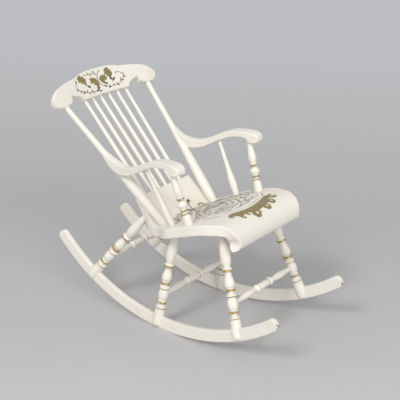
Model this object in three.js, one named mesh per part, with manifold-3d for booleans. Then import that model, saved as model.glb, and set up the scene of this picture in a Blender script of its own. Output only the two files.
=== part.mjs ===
// A six-legged turned rocking chair: rolled plank seat, raked spindle back, S-curved arms.
// Millimetres, +Z up. The sitter faces -Y and the chair is mirrored about the plane x = 0.
import * as THREE from 'three';
import { mergeVertices } from 'three/addons/utils/BufferGeometryUtils.js';
import Module from 'manifold-3d';

const wasm = await Module();
wasm.setup();

// Fits shared by all joints
const fitGap = 0.3;
const weldDistance = 0.0001;
const cutOverrun = 6;
const blankOverrun = 60;
const coping = 12;

// Rockers: two sawn boards that follow an arc and toe in towards the back
const rockerRadius = 833;
const rockerDepth = 47;
const rockerThickness = 20;
const rockerHalfSpacing = 212;
const rockerToeIn = 0.035;
const rockerFacetAngle = 0.0568;
const rockerFrontAngle = -0.654;
const rockerRearAngle = 0.775;
const rockerEndReach = 15;
const rockerEndSteps = 7;

// All other sizes are given with the chair rolled forward by this angle from its balance
const restLean = 0.03;

// Seat: side profile, counted from the front of the roll
const seatFront = -322;
const seatDepth = 402;
const seatLowHeight = 411;
const seatRise = 100;
const seatThickness = 40;
const seatDishShares = [[0.19, 1], [0.35, 0.91], [0.5, 0.73], [0.7, 0.45], [0.85, 0.22], [1, 0]];
const seatRear = seatFront + seatDepth;
const rollTopHeight = seatLowHeight + seatRise;
const rollDrop = 70;
const rollLipRadius = 25;
const rollLipFillet = 14;
const rollSteps = 9;
const lipSteps = 8;
const rollJointShare = 0.26;

// Riser behind the seat: it carries the back spindles
const riserRun = 110;
const riserHeight = 88;
const riserTopThickness = 24;
const riserHalfWidth = 162;
const riserSteps = 6;
const riserHeelShare = 0.5;
const riserSearchSteps = 200;

// Seat plan, half of it
const seatFrontHalfWidth = 218;
const seatArmHalfWidth = 262;
const seatRearHalfWidth = 215;
const seatShoulderInset = 28;
const seatShoulderRun = 67;
const seatShoulderRear = seatRear - seatShoulderInset;
const seatShoulderFront = seatShoulderRear - seatShoulderRun;
const seatRearCorner = 24;
const seatRollCorner = 26;

// Legs: turned, tenoned into the seat, forked over the rocker
const legRadius = 20;
const legTenonRadius = 11;
const legTenonLength = 14;
const legFootLift = 7;
const legRingLength = 256;
const legSides = 10;
const legFrontSetback = 121;
const legMiddleInset = 79;
const legRearReach = 82;
const legSockets = {
  front: { x: 155, y: seatFront + legFrontSetback, rockerAngle: -0.425 },
  middle: { x: 166, y: seatRear - legMiddleInset, rockerAngle: 0.069 },
  rear: { x: 148, y: seatRear + legRearReach, rockerAngle: 0.517 },
};
// Share of the length above the first ring, share of the leg radius
const legVaseShares = [
  [1, 0.62], [0.86, 0.7], [0.66, 0.84], [0.44, 0.98], [0.3, 1], [0.16, 0.88], [0.07, 0.68], [0.045, 0.66],
];
// Share of the length below the first ring, share of the leg radius
const legLowerShares = [
  [0.002, 0.88], [0.024, 0.88], [0.034, 0.6], [0.075, 0.62], [0.14, 0.84], [0.205, 0.99], [0.235, 0.96],
  [0.262, 0.72], [0.275, 0.64], [0.282, 0.86], [0.31, 0.86], [0.318, 0.62], [0.345, 0.62], [0.362, 0.96],
  [0.392, 0.96], [0.4, 0.74], [0.44, 0.94], [0.49, 1], [0.55, 0.9], [0.6, 0.68], [0.614, 0.86], [0.642, 0.86],
  [0.65, 0.62], [0.69, 0.64], [0.7, 0.96], [0.728, 0.96], [0.75, 0.95], [0.83, 0.92], [0.93, 0.8], [0.985, 0.6], [1, 0.4],
];
const legStretcherShare = 0.49;
const legPinRadius = 4;
const legPinLift = 20;
const legPinProud = 5;
const legPinSides = 8;

// Stretchers between the barrels of each pair of legs
const stretcherRadius = 12.5;
const stretcherTenonRadius = 6.5;
const stretcherTenonLength = 10;
const stretcherSides = 8;
const stretcherShares = [
  [0, 0.56], [0.1, 0.7], [0.2, 0.92], [0.26, 0.84], [0.31, 0.6], [0.33, 0.6], [0.34, 1], [0.365, 1], [0.375, 0.62],
  [0.4, 0.74], [0.45, 0.94],
];

// Crest rail: a bowed board whose ends drop as ears over the posts
const crestSetback = 409;
const crestLift = 420;
const crestFrontY = seatRear + crestSetback;
const crestFootZ = seatLowHeight + crestLift;
const crestHeight = 98;
const crestHalfWidth = 302;
const crestThickness = 31;
const crestTopThickness = 24;
const crestFaceRake = 0.35;
const crestBow = 25;
const crestBowSteps = 10;
// Share of the half width, share of the height over the straight foot, along the front face
const crestOutlineShares = [
  [0, 1], [0.2, 0.985], [0.27, 0.955], [0.31, 0.9], [0.37, 0.885], [0.52, 0.83], [0.7, 0.76], [0.83, 0.68],
  [0.93, 0.55], [0.985, 0.4], [1, 0.27], [0.975, 0.15], [0.91, 0.07], [0.82, 0.05], [0.73, 0.07],
  [0.675, 0.13], [0.66, 0.21], [0.68, 0.31], [0.6, 0.27], [0.5, 0.2], [0.45, 0.11], [0.425, 0], [0.21, 0],
];

// Back: raked posts and spindles
const backRake = 0.722;
const postBaseInset = 2;
const postEarInset = 57;
const postTopLead = 14;
const postTopDrop = 7;
const postBase = { x: 172, y: seatRear - postBaseInset };
const postTop = { x: crestHalfWidth - postEarInset, y: crestFrontY - postTopLead, z: crestFootZ - postTopDrop };
const postBaseRadius = 16.5;
const postTopRadius = 10;
const postTenonRadius = 8;
const postTenonLength = 20;
const postTopTenonLength = 14;
const postSides = 10;
const postShares = [[0, 0.82], [0.06, 0.97], [0.16, 1], [0.4, 0.9], [0.72, 0.7], [1, 0.606]];
const spindleCount = 6;
const spindleTopSpacing = 48.8;
const spindleFootSpacing = 44;
const spindleRadius = 6.8;
const spindleTenonRadius = 4.2;
const spindleTenonLength = 14;
const spindleSides = 8;
const spindleShares = [[0, 0.8], [0.25, 1], [0.5, 1], [1, 0.78]];

// Arms: sawn S curves in a plane that splays outward to the front
const armTipX = 255;
const armTipSetback = 227;
const armTipY = seatFront + armTipSetback;
const armSplay = 0.12;
const armLift = 301;
const armTailReach = 220;
const armFrontHeight = seatLowHeight + armLift;
const armReach = seatRear + armTailReach - armTipY;
const armDepth = 100;
const armHalfWidth = 25;
const armSeatSink = 6;
// Share of the reach back from the tip, share of the depth down from the highest point
const armTopShares = [
  [0, 0.27], [0.008, 0.15], [0.04, 0.05], [0.08, 0.01], [0.134, 0], [0.27, 0.04], [0.395, 0.18], [0.476, 0.34],
  [0.57, 0.55], [0.65, 0.69], [0.7, 0.76], [0.75, 0.8], [0.8, 0.81], [0.85, 0.79], [0.891, 0.74], [0.949, 0.63],
  [1.01, 0.46], [1.07, 0.15],
];
const armUnderShares = [
  [0.914, 1.05], [0.828, 1.08], [0.744, 1.04], [0.65, 0.94], [0.567, 0.79], [0.476, 0.6], [0.395, 0.44],
  [0.327, 0.33], [0.25, 0.27], [0.19, 0.26], [0.172, 0.29], [0.154, 0.36], [0.119, 0.42], [0.07, 0.43], [0.03, 0.38],
];
// Share of the reach back from the tip, share of the half width
const armPlanShares = [[0, 0.3], [0.02, 0.64], [0.06, 0.88], [0.12, 1], [0.4, 0.86], [0.6, 0.68], [0.8, 0.56], [1.1, 0.48]];

// Turned baluster under each arm's front
const balusterBaseLead = 15;
const balusterTopSetback = 57;
const balusterBase = { x: 229, y: armTipY - balusterBaseLead };
const balusterTop = { x: 250, y: armTipY + balusterTopSetback };
const balusterRadius = 16.5;
const balusterTenonRadius = 8;
const balusterTenonLength = 14;
const balusterTopTenonLength = 9;
const balusterSides = 10;
const balusterSeatShare = 0.11;
const balusterShares = [
  [0, 1], [0.03, 1], [0.12, 0.94], [0.19, 0.78], [0.2, 0.88], [0.222, 0.88], [0.232, 0.56], [0.285, 0.58],
  [0.295, 0.88], [0.325, 0.88], [0.34, 0.78], [0.39, 0.95], [0.42, 0.9], [0.48, 0.56], [0.515, 0.56],
  [0.525, 0.88], [0.56, 0.88], [0.575, 0.7], [0.64, 0.84], [0.71, 0.84], [0.83, 0.64], [1, 0.44],
];

// Plain spindle under the middle of each arm
const armSpindleBaseSetback = 78;
const armSpindleTopSetback = 187;
const armSpindleBase = { x: 208, y: armTipY + armSpindleBaseSetback };
const armSpindleTop = { x: 232, y: armTipY + armSpindleTopSetback };
const armSpindleRadius = 13.5;
const armSpindleTenonRadius = 5.5;
const armSpindleTenonLength = 11;
const armSpindleTopTenonLength = 9;
const armSpindleSides = 10;
const armSpindleShares = [[0, 0.78], [0.12, 0.97], [0.2, 1], [0.4, 0.84], [0.7, 0.68], [1, 0.56]];

const upAxis = new THREE.Vector3(0, 1, 0);
const sides = { left: 1, right: -1 };
const paint = new THREE.Color(0.87, 0.84, 0.76);

// Drop coincident vertices and collapsed triangles, and turn the faces outward.
function welded(geometry) {
  const bare = geometry.clone();
  bare.deleteAttribute('normal');
  bare.deleteAttribute('uv');
  const merged = mergeVertices(bare, weldDistance);
  const place = merged.getAttribute('position');
  const index = merged.getIndex().array;
  const kept = [];
  let volume = 0;
  const [a, b, c] = [new THREE.Vector3(), new THREE.Vector3(), new THREE.Vector3()];
  for (let i = 0; i < index.length; i += 3) {
    const [p, q, r] = [index[i], index[i + 1], index[i + 2]];
    if (p === q || q === r || r === p) {
      continue;
    }
    kept.push(p, q, r);
    a.fromBufferAttribute(place, p);
    b.fromBufferAttribute(place, q);
    c.fromBufferAttribute(place, r);
    volume += a.dot(b.cross(c));
  }
  if (volume < 0) {
    kept.reverse();
  }
  return { points: place.array, triangles: kept };
}

function solidOf(geometry) {
  const { points, triangles } = welded(geometry);
  const mesh = new wasm.Mesh({
    numProp: 3,
    vertProperties: new Float32Array(points),
    triVerts: new Uint32Array(triangles),
  });
  return new wasm.Manifold(mesh);
}

function geometryOf(solid) {
  const mesh = solid.getMesh();
  const geometry = new THREE.BufferGeometry();
  const points = new Float32Array(mesh.vertProperties);
  geometry.setAttribute('position', new THREE.BufferAttribute(points, mesh.numProp));
  geometry.setIndex(new THREE.BufferAttribute(new Uint32Array(mesh.triVerts), 1));
  geometry.computeVertexNormals();
  return geometry;
}

function cut(body, tools) {
  let result = body;
  for (const tool of tools) {
    result = result.subtract(tool);
  }
  return result;
}

// A turned solid: rows of distance and radius, carried from a start point along a direction.
function turned(rows, start, direction, segments) {
  const points = rows.map(([along, radius]) => new THREE.Vector2(radius, along));
  const first = rows[0][0];
  const last = rows[rows.length - 1][0];
  const profile = [new THREE.Vector2(0, first), ...points, new THREE.Vector2(0, last)];
  const geometry = new THREE.LatheGeometry(profile, segments);
  geometry.applyQuaternion(new THREE.Quaternion().setFromUnitVectors(upAxis, direction));
  geometry.translate(start.x, start.y, start.z);
  return solidOf(geometry);
}

function bar(radius, from, to, start, direction, segments) {
  return turned([[from, radius], [to, radius]], start, direction, segments);
}

// A side profile of [y, z] points, carried across the chair from one x to another.
function acrossChair(profile, fromX, toX) {
  const shape = new THREE.Shape(profile.map(([y, z]) => new THREE.Vector2(y, z)));
  const geometry = new THREE.ExtrudeGeometry(shape, { depth: toX - fromX, bevelEnabled: false });
  const frame = new THREE.Matrix4().makeBasis(
    new THREE.Vector3(0, 1, 0),
    new THREE.Vector3(0, 0, 1),
    new THREE.Vector3(1, 0, 0),
  );
  geometry.applyMatrix4(frame);
  geometry.translate(fromX, 0, 0);
  return geometry;
}

// A plan outline of [x, y] points, carried upward from one height to another.
function upright(outline, fromZ, toZ) {
  const shape = new THREE.Shape(outline.map(([x, y]) => new THREE.Vector2(x, y)));
  const geometry = new THREE.ExtrudeGeometry(shape, { depth: toZ - fromZ, bevelEnabled: false });
  geometry.translate(0, 0, fromZ);
  return geometry;
}

function lerpShares(rows, share) {
  for (let i = 1; i < rows.length; i += 1) {
    const [u0, v0] = rows[i - 1];
    const [u1, v1] = rows[i];
    if (share <= u1) {
      return v0 + (v1 - v0) * (share - u0) / (u1 - u0);
    }
  }
  return rows[rows.length - 1][1];
}

// Rockers

// One facet lies level under the centre of gravity once the chair has rolled back to its balance.
function rockerAngles() {
  const angles = [rockerFrontAngle];
  const facetsAhead = Math.floor((restLean - rockerFrontAngle) / rockerFacetAngle - 0.5);
  let angle = restLean - rockerFacetAngle * (facetsAhead + 0.5);
  while (angle < rockerRearAngle) {
    angles.push(angle);
    angle += rockerFacetAngle;
  }
  return [...angles, rockerRearAngle];
}

function rockerProfile(grow) {
  const outer = rockerRadius + grow;
  const inner = rockerRadius - rockerDepth - grow;
  const middle = (outer + inner) / 2;
  const half = (outer - inner) / 2;
  const reach = rockerEndReach + grow;
  const points = [];
  const polar = (radius, angle) => [radius * Math.sin(angle), rockerRadius - radius * Math.cos(angle)];
  for (const angle of rockerAngles()) {
    points.push(polar(outer, angle));
  }
  for (let i = 1; i < rockerEndSteps; i += 1) {
    const turn = Math.PI * i / rockerEndSteps;
    points.push(polar(middle + half * Math.cos(turn), rockerRearAngle + reach * Math.sin(turn) / middle));
  }
  for (const angle of rockerAngles().reverse()) {
    points.push(polar(inner, angle));
  }
  for (let i = 1; i < rockerEndSteps; i += 1) {
    const turn = Math.PI * i / rockerEndSteps;
    points.push(polar(middle - half * Math.cos(turn), rockerFrontAngle - reach * Math.sin(turn) / middle));
  }
  return points;
}

function rockerBody(side, grow) {
  const half = rockerThickness / 2 + grow;
  const geometry = acrossChair(rockerProfile(grow), -half, half);
  geometry.rotateZ(side * Math.atan(rockerToeIn));
  geometry.translate(side * rockerHalfSpacing, 0, 0);
  return solidOf(geometry);
}

function rockerPoint(side, angle, lift) {
  const radius = rockerRadius - lift;
  const y = radius * Math.sin(angle);
  return new THREE.Vector3(side * (rockerHalfSpacing - rockerToeIn * y), y, rockerRadius - radius * Math.cos(angle));
}

// Seat

function seatTopAt(y) {
  return seatLowHeight + seatRise * lerpShares(seatDishShares, (y - seatFront) / seatDepth);
}

function riserBack() {
  const across = new THREE.Vector2(Math.cos(backRake), -Math.sin(backRake)).multiplyScalar(riserTopThickness);
  const top = new THREE.Vector2(seatRear + riserRun, seatLowHeight + riserHeight).add(across);
  const bend = new THREE.Vector2(seatRear + riserRun * riserHeelShare, seatLowHeight - seatThickness);
  const foot = new THREE.Vector2(seatRear, seatLowHeight - seatThickness);
  return new THREE.QuadraticBezierCurve(top, bend, foot);
}

function seatProfile() {
  const points = [];
  const rollEndY = seatFront + seatDishShares[0][0] * seatDepth;
  const rollLength = rollEndY - seatFront;
  for (let i = 0; i < rollSteps; i += 1) {
    const turn = Math.PI / 2 * i / rollSteps;
    points.push([rollEndY - rollLength * Math.cos(turn), rollTopHeight - rollDrop * (1 - Math.sin(turn))]);
  }
  for (const [share, rise] of seatDishShares) {
    points.push([seatFront + share * seatDepth, seatLowHeight + rise * seatRise]);
  }
  const riserFoot = new THREE.Vector2(seatRear, seatLowHeight);
  const riserTop = new THREE.Vector2(seatRear + riserRun, seatLowHeight + riserHeight);
  const riserBend = new THREE.Vector2(seatRear + riserRun * riserHeelShare / 2, seatLowHeight);
  const riserCurve = new THREE.QuadraticBezierCurve(riserFoot, riserBend, riserTop);
  for (const point of riserCurve.getPoints(riserSteps).slice(1)) {
    points.push([point.x, point.y]);
  }
  for (const point of riserBack().getPoints(riserSteps)) {
    points.push([point.x, point.y]);
  }
  for (const [share, rise] of seatDishShares.slice(1, -1).reverse()) {
    points.push([seatFront + share * seatDepth, seatLowHeight + rise * seatRise - seatThickness]);
  }
  const lipInner = seatFront + 2 * rollLipRadius;
  const underRoll = seatTopAt(lipInner + 2 * rollLipFillet) - seatThickness;
  for (let i = 0; i <= lipSteps / 2; i += 1) {
    const turn = Math.PI / 2 * i / (lipSteps / 2);
    points.push([
      lipInner + rollLipFillet * (1 - Math.sin(turn)),
      underRoll - rollLipFillet * (1 - Math.cos(turn)),
    ]);
  }
  const lipCentre = rollTopHeight - rollDrop;
  for (let i = 0; i < lipSteps; i += 1) {
    const turn = Math.PI * i / lipSteps;
    points.push([
      seatFront + rollLipRadius + rollLipRadius * Math.cos(turn),
      lipCentre - rollLipRadius * Math.sin(turn),
    ]);
  }
  return points;
}

function seatPlan() {
  const rollCornerY = seatFront + seatRollCorner;
  const half = [
    [seatFrontHalfWidth - seatRollCorner, seatFront - cutOverrun],
    [seatFrontHalfWidth - seatRollCorner / 3, seatFront + seatRollCorner / 3],
    [seatFrontHalfWidth + seatRollCorner / 6, rollCornerY + seatRollCorner / 2],
    [seatArmHalfWidth - seatRollCorner / 3, seatFront + seatDepth / 3],
    [seatArmHalfWidth, seatFront + seatDepth / 2],
    [seatArmHalfWidth, seatShoulderFront],
    [seatArmHalfWidth - seatRollCorner / 3, seatShoulderFront + seatRollCorner / 2],
    [seatRearHalfWidth + seatRollCorner / 3, seatShoulderRear - seatRollCorner / 2],
    [seatRearHalfWidth, seatShoulderRear],
    [seatRearHalfWidth, seatRear + seatRearCorner],
    [riserHalfWidth, seatRear + seatRearCorner + riserTopThickness],
    [riserHalfWidth, seatRear + riserRun + riserTopThickness + cutOverrun],
  ];
  const mirrored = half.map(([x, y]) => [-x, y]).reverse();
  return [...half, ...mirrored];
}

function slab(fromY, toY) {
  const top = seatLowHeight + riserHeight + blankOverrun;
  const profile = [[fromY, 0], [toY, 0], [toY, top], [fromY, top]];
  const reach = seatArmHalfWidth + cutOverrun;
  return solidOf(acrossChair(profile, -reach, reach));
}

const seatReach = seatArmHalfWidth + cutOverrun;
const seatBlank = solidOf(acrossChair(seatProfile(), -seatReach, seatReach))
  .intersect(solidOf(upright(seatPlan(), 0, seatLowHeight + riserHeight + blankOverrun)));
const rollJointY = seatFront + rollJointShare * seatDepth;

// Crest rail and arms before their bores

function crestBowAt(x) {
  return crestBow * (1 - Math.cos(Math.PI * x / crestHalfWidth)) / 2;
}

function crestBoard() {
  const reach = crestHalfWidth + cutOverrun;
  const bow = [];
  for (let i = 0; i <= crestBowSteps; i += 1) {
    const x = -reach + 2 * reach * i / crestBowSteps;
    bow.push(new THREE.Vector3(x, crestFrontY - crestBowAt(x), crestFootZ));
  }
  const lean = Math.tan(crestFaceRake);
  const under = -crestHeight / 2;
  const over = crestHeight + cutOverrun;
  const section = new THREE.Shape([
    new THREE.Vector2(-under, lean * under),
    new THREE.Vector2(-over, lean * over),
    new THREE.Vector2(-over, lean * over + crestTopThickness),
    new THREE.Vector2(-under, lean * under + crestThickness),
  ]);
  const path = new THREE.CatmullRomCurve3(bow);
  return new THREE.ExtrudeGeometry(section, { steps: 2 * crestBowSteps, extrudePath: path, bevelEnabled: false });
}

// The outline is sawn square to the raked back, so its points are carried into that plane.
function crestOutline() {
  const half = crestOutlineShares.map(([across, up]) => {
    const x = across * crestHalfWidth;
    const rise = up * crestHeight;
    const back = rise * Math.tan(crestFaceRake) - crestBowAt(x);
    return [x, back * Math.sin(backRake) + rise * Math.cos(backRake)];
  });
  const mirrored = half.slice(1).map(([x, rise]) => [-x, rise]).reverse();
  return [...half, ...mirrored];
}

function crestCutter() {
  const shape = new THREE.Shape(crestOutline().map(([x, rise]) => new THREE.Vector2(x, rise)));
  const depth = 2 * (crestHeight + crestThickness);
  const geometry = new THREE.ExtrudeGeometry(shape, { depth, bevelEnabled: false });
  geometry.translate(0, 0, -depth / 2);
  const frame = new THREE.Matrix4().makeBasis(
    new THREE.Vector3(1, 0, 0),
    new THREE.Vector3(0, Math.sin(backRake), Math.cos(backRake)),
    new THREE.Vector3(0, -Math.cos(backRake), Math.sin(backRake)),
  );
  geometry.applyMatrix4(frame);
  geometry.translate(0, crestFrontY, crestFootZ);
  return geometry;
}

const crestBlank = solidOf(crestBoard()).intersect(solidOf(crestCutter()));

function armBlank(side) {
  const profile = [...armTopShares, ...armUnderShares];
  const outline = profile.map(([along, down]) => [along * armReach, armFrontHeight - down * armDepth]);
  const half = armPlanShares.map(([along, width]) => [width * armHalfWidth, along * armReach]);
  const plan = [...half, ...half.map(([x, y]) => [-x, y]).reverse()];
  const body = solidOf(acrossChair(outline, -armHalfWidth - cutOverrun, armHalfWidth + cutOverrun))
    .intersect(solidOf(upright(plan, armFrontHeight - 2 * armDepth, armFrontHeight + armDepth)));
  const geometry = geometryOf(body);
  geometry.rotateZ(side * Math.atan(armSplay));
  geometry.translate(side * armTipX, armTipY, 0);
  return solidOf(geometry);
}

// Turned members: rows along an axis, ends coped to what they stand on, and round tenons

function axisBetween(foot, top) {
  const along = new THREE.Vector3().subVectors(top, foot);
  const length = along.length();
  return { foot, length, direction: along.normalize() };
}

function member(foot, top, options) {
  const axis = axisBetween(foot, top);
  const { radius, shares, segments, tenonRadius, footTenon, topTenon } = options;
  const rows = shares.map(([along, width]) => [along * axis.length, width * radius]);
  return { axis, rows, segments, tenonRadius, footTenon, topTenon };
}

function memberBody(part, keepClearOf) {
  const { axis, rows, segments, tenonRadius, footTenon, topTenon } = part;
  const firstRadius = rows[0][1];
  const lastRadius = rows[rows.length - 1][1];
  const low = footTenon > 0 ? [[-coping, firstRadius]] : [];
  const high = topTenon > 0 ? [[axis.length + coping, lastRadius]] : [];
  let body = turned([...low, ...rows, ...high], axis.foot, axis.direction, segments);
  body = cut(body, keepClearOf);
  if (footTenon > 0) {
    body = body.add(bar(tenonRadius, -footTenon, coping, axis.foot, axis.direction, segments));
  }
  if (topTenon > 0) {
    const { length } = axis;
    body = body.add(bar(tenonRadius, length - coping, length + topTenon, axis.foot, axis.direction, segments));
  }
  return body;
}

function footBore(part) {
  const { axis, segments, tenonRadius, footTenon } = part;
  return bar(tenonRadius + fitGap, -footTenon - fitGap, coping, axis.foot, axis.direction, segments);
}

function topBore(part) {
  const { axis, segments, tenonRadius, topTenon } = part;
  const end = axis.length + topTenon + fitGap;
  return bar(tenonRadius + fitGap, axis.length - coping, end, axis.foot, axis.direction, segments);
}

function grownBody(part) {
  const { axis, rows, segments } = part;
  const grown = rows.map(([along, radius]) => [along, radius + fitGap]);
  return turned(grown, axis.foot, axis.direction, segments);
}

function seatPoint(side, place) {
  return new THREE.Vector3(side * place.x, place.y, seatTopAt(place.y));
}

function underSeatAt(y) {
  if (y <= seatRear) {
    return seatTopAt(y) - seatThickness;
  }
  const curve = riserBack();
  for (let i = 1; i <= riserSearchSteps; i += 1) {
    const point = curve.getPoint(i / riserSearchSteps);
    if (point.x <= y) {
      return point.y;
    }
  }
  return seatLowHeight;
}

const postOptions = {
  radius: postBaseRadius,
  shares: postShares,
  segments: postSides,
  tenonRadius: postTenonRadius,
  footTenon: postTenonLength,
  topTenon: postTopTenonLength,
};
const balusterOptions = {
  radius: balusterRadius,
  shares: balusterShares,
  segments: balusterSides,
  tenonRadius: balusterTenonRadius,
  footTenon: balusterTenonLength,
  topTenon: balusterTopTenonLength,
};
const armSpindleOptions = {
  radius: armSpindleRadius,
  shares: armSpindleShares,
  segments: armSpindleSides,
  tenonRadius: armSpindleTenonRadius,
  footTenon: armSpindleTenonLength,
  topTenon: armSpindleTopTenonLength,
};
const spindleOptions = {
  radius: spindleRadius,
  shares: spindleShares,
  segments: spindleSides,
  tenonRadius: spindleTenonRadius,
  footTenon: spindleTenonLength,
  topTenon: spindleTenonLength,
};

function armUnderAt(y) {
  const share = (y - armTipY) / armReach;
  const rows = armUnderShares.filter(([along]) => along >= balusterSeatShare).reverse();
  return armFrontHeight - armDepth * lerpShares(rows, share);
}

function armFootPoint(side, place) {
  return new THREE.Vector3(side * place.x, place.y, armUnderAt(place.y));
}

function postOf(side) {
  const top = new THREE.Vector3(side * postTop.x, postTop.y, postTop.z);
  return member(seatPoint(side, postBase), top, postOptions);
}

function balusterOf(side) {
  return member(seatPoint(side, balusterBase), armFootPoint(side, balusterTop), balusterOptions);
}

function armSpindleOf(side) {
  return member(seatPoint(side, armSpindleBase), armFootPoint(side, armSpindleTop), armSpindleOptions);
}

function spindleOf(index) {
  const place = index - (spindleCount - 1) / 2;
  const halfRiser = riserTopThickness / 2;
  const foot = new THREE.Vector3(
    place * spindleFootSpacing,
    seatRear + riserRun + halfRiser * Math.cos(backRake),
    seatLowHeight + riserHeight - halfRiser * Math.sin(backRake),
  );
  const topX = place * spindleTopSpacing;
  const halfCrest = crestThickness / 2;
  const top = new THREE.Vector3(
    topX,
    crestFrontY - crestBowAt(topX) + halfCrest * Math.cos(backRake),
    crestFootZ - halfCrest * Math.sin(backRake),
  );
  return member(foot, top, spindleOptions);
}

// Legs and stretchers

function legOf(side, socket) {
  const aim = rockerPoint(side, socket.rockerAngle, rockerDepth / 2);
  const top = new THREE.Vector3(side * socket.x, socket.y, underSeatAt(socket.y));
  const { direction } = axisBetween(aim, top);
  const foot = aim.addScaledVector(direction, legFootLift - rockerDepth / 2);
  const axis = axisBetween(foot, top);
  const vaseLength = axis.length - legRingLength;
  const lower = legLowerShares.map(([down, width]) => [legRingLength * (1 - down), width * legRadius]);
  const vase = legVaseShares.map(([up, width]) => [legRingLength + up * vaseLength, width * legRadius]);
  const rows = [...lower.reverse(), ...vase.reverse()];
  return {
    axis,
    rows,
    side,
    socket,
    segments: legSides,
    tenonRadius: legTenonRadius,
    footTenon: 0,
    topTenon: legTenonLength,
  };
}

function barrelPoint(leg) {
  const along = legRingLength * (1 - legStretcherShare);
  return leg.axis.foot.clone().addScaledVector(leg.axis.direction, along);
}

function stretcherOf(leftLeg, rightLeg) {
  const left = barrelPoint(leftLeg);
  const right = barrelPoint(rightLeg);
  const span = new THREE.Vector3().subVectors(left, right);
  const inset = legRadius - stretcherTenonLength / 2;
  const direction = span.clone().normalize();
  const foot = right.clone().addScaledVector(direction, inset);
  const top = left.clone().addScaledVector(direction, -inset);
  const axis = axisBetween(foot, top);
  const half = stretcherShares.map(([along, width]) => [along * axis.length, width * stretcherRadius]);
  const mirrored = half.map(([along, width]) => [axis.length - along, width]).reverse();
  return {
    axis,
    rows: [...half, ...mirrored],
    segments: stretcherSides,
    tenonRadius: stretcherTenonRadius,
    footTenon: stretcherTenonLength,
    topTenon: stretcherTenonLength,
  };
}

function pinOf(leg, grow) {
  const { side, socket } = leg;
  const centre = rockerPoint(side, socket.rockerAngle, legPinLift);
  const across = new THREE.Vector3(1, side * -rockerToeIn, 0).normalize();
  const half = rockerThickness / 2 + legPinProud;
  return bar(legPinRadius + grow, -half - grow, half + grow, centre, across, legPinSides);
}

// Assembly

const posts = {};
const balusters = {};
const armSpindles = {};
const legs = {};
const stretchers = {};
const spindles = [];
for (const [name, side] of Object.entries(sides)) {
  posts[name] = postOf(side);
  balusters[name] = balusterOf(side);
  armSpindles[name] = armSpindleOf(side);
  for (const [place, socket] of Object.entries(legSockets)) {
    legs[`${place}_${name}`] = legOf(side, socket);
  }
}
for (const place of Object.keys(legSockets)) {
  stretchers[place] = stretcherOf(legs[`${place}_left`], legs[`${place}_right`]);
}
for (let i = 0; i < spindleCount; i += 1) {
  spindles.push(spindleOf(i));
}

const aboveSeat = seatBlank.translate([0, 0, fitGap]);
const underSeat = seatBlank.translate([0, 0, -fitGap]);
const underCrest = crestBlank.translate([0, -fitGap * Math.sin(backRake), -fitGap * Math.cos(backRake)]);
const bodies = [];

const seatBores = [
  ...Object.values(posts).map(footBore),
  ...Object.values(balusters).map(footBore),
  ...Object.values(armSpindles).map(footBore),
  ...spindles.map(footBore),
  ...Object.values(legs).map(topBore),
];
const boredSeat = cut(seatBlank, seatBores);
const halfGap = fitGap / 2;
const farReach = seatDepth + riserRun + blankOverrun;
bodies.push(['seat_front_roll', boredSeat.intersect(slab(seatFront - cutOverrun, rollJointY - halfGap))]);
bodies.push(['seat_board', boredSeat.intersect(slab(rollJointY + halfGap, seatRear - halfGap))]);
bodies.push(['seat_rear_riser', boredSeat.intersect(slab(seatRear + halfGap, farReach))]);

const crestBores = [...Object.values(posts).map(topBore), ...spindles.map(topBore)];
bodies.push(['crest_rail', cut(crestBlank, crestBores)]);
spindles.forEach((part, index) => {
  bodies.push([`back_spindle_${index + 1}`, memberBody(part, [aboveSeat, underCrest])]);
});

for (const [name, side] of Object.entries(sides)) {
  const arm = armBlank(side);
  const underArm = arm.translate([0, 0, -fitGap]);
  const armBores = [grownBody(posts[name]), topBore(balusters[name]), topBore(armSpindles[name])];
  bodies.push([`back_post_${name}`, memberBody(posts[name], [aboveSeat, underCrest])]);
  bodies.push([`arm_${name}`, cut(arm, armBores)]);
  bodies.push([`arm_baluster_${name}`, memberBody(balusters[name], [aboveSeat, underArm])]);
  bodies.push([`arm_spindle_${name}`, memberBody(armSpindles[name], [aboveSeat, underArm])]);
  const rocker = rockerBody(side, 0);
  const slot = rockerBody(side, fitGap);
  const pinBores = [];
  for (const place of Object.keys(legSockets)) {
    const leg = legs[`${place}_${name}`];
    const pinBore = pinOf(leg, fitGap);
    const stretcher = stretchers[place];
    const boreOf = side > 0 ? topBore : footBore;
    const legBody = cut(memberBody(leg, [underSeat]), [slot, pinBore, boreOf(stretcher)]);
    bodies.push([`leg_${place}_${name}`, legBody]);
    bodies.push([`rocker_pin_${place}_${name}`, pinOf(leg, 0)]);
    pinBores.push(pinBore);
  }
  bodies.push([`rocker_${name}`, cut(rocker, pinBores)]);
}
for (const [place, part] of Object.entries(stretchers)) {
  const legSolids = [legs[`${place}_left`], legs[`${place}_right`]].map(grownBody);
  bodies.push([`stretcher_${place}`, memberBody(part, legSolids)]);
}

// The origin lies under the middle of the chair's box, on the floor.
const box = new THREE.Box3();
const meshes = bodies.map(([name, solid]) => {
  const geometry = geometryOf(solid);
  geometry.translate(0, 0, -rockerRadius);
  geometry.rotateX(-restLean);
  geometry.computeBoundingBox();
  box.union(geometry.boundingBox);
  const material = new THREE.MeshStandardMaterial({ color: paint, roughness: 0.45, metalness: 0 });
  const mesh = new THREE.Mesh(geometry, material);
  mesh.name = name;
  return mesh;
});
const middle = box.getCenter(new THREE.Vector3());
const group = new THREE.Group();
group.name = 'rocking_chair';
for (const mesh of meshes) {
  mesh.geometry.translate(-middle.x, -middle.y, -box.min.z);
  group.add(mesh);
}
export default group;
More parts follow.
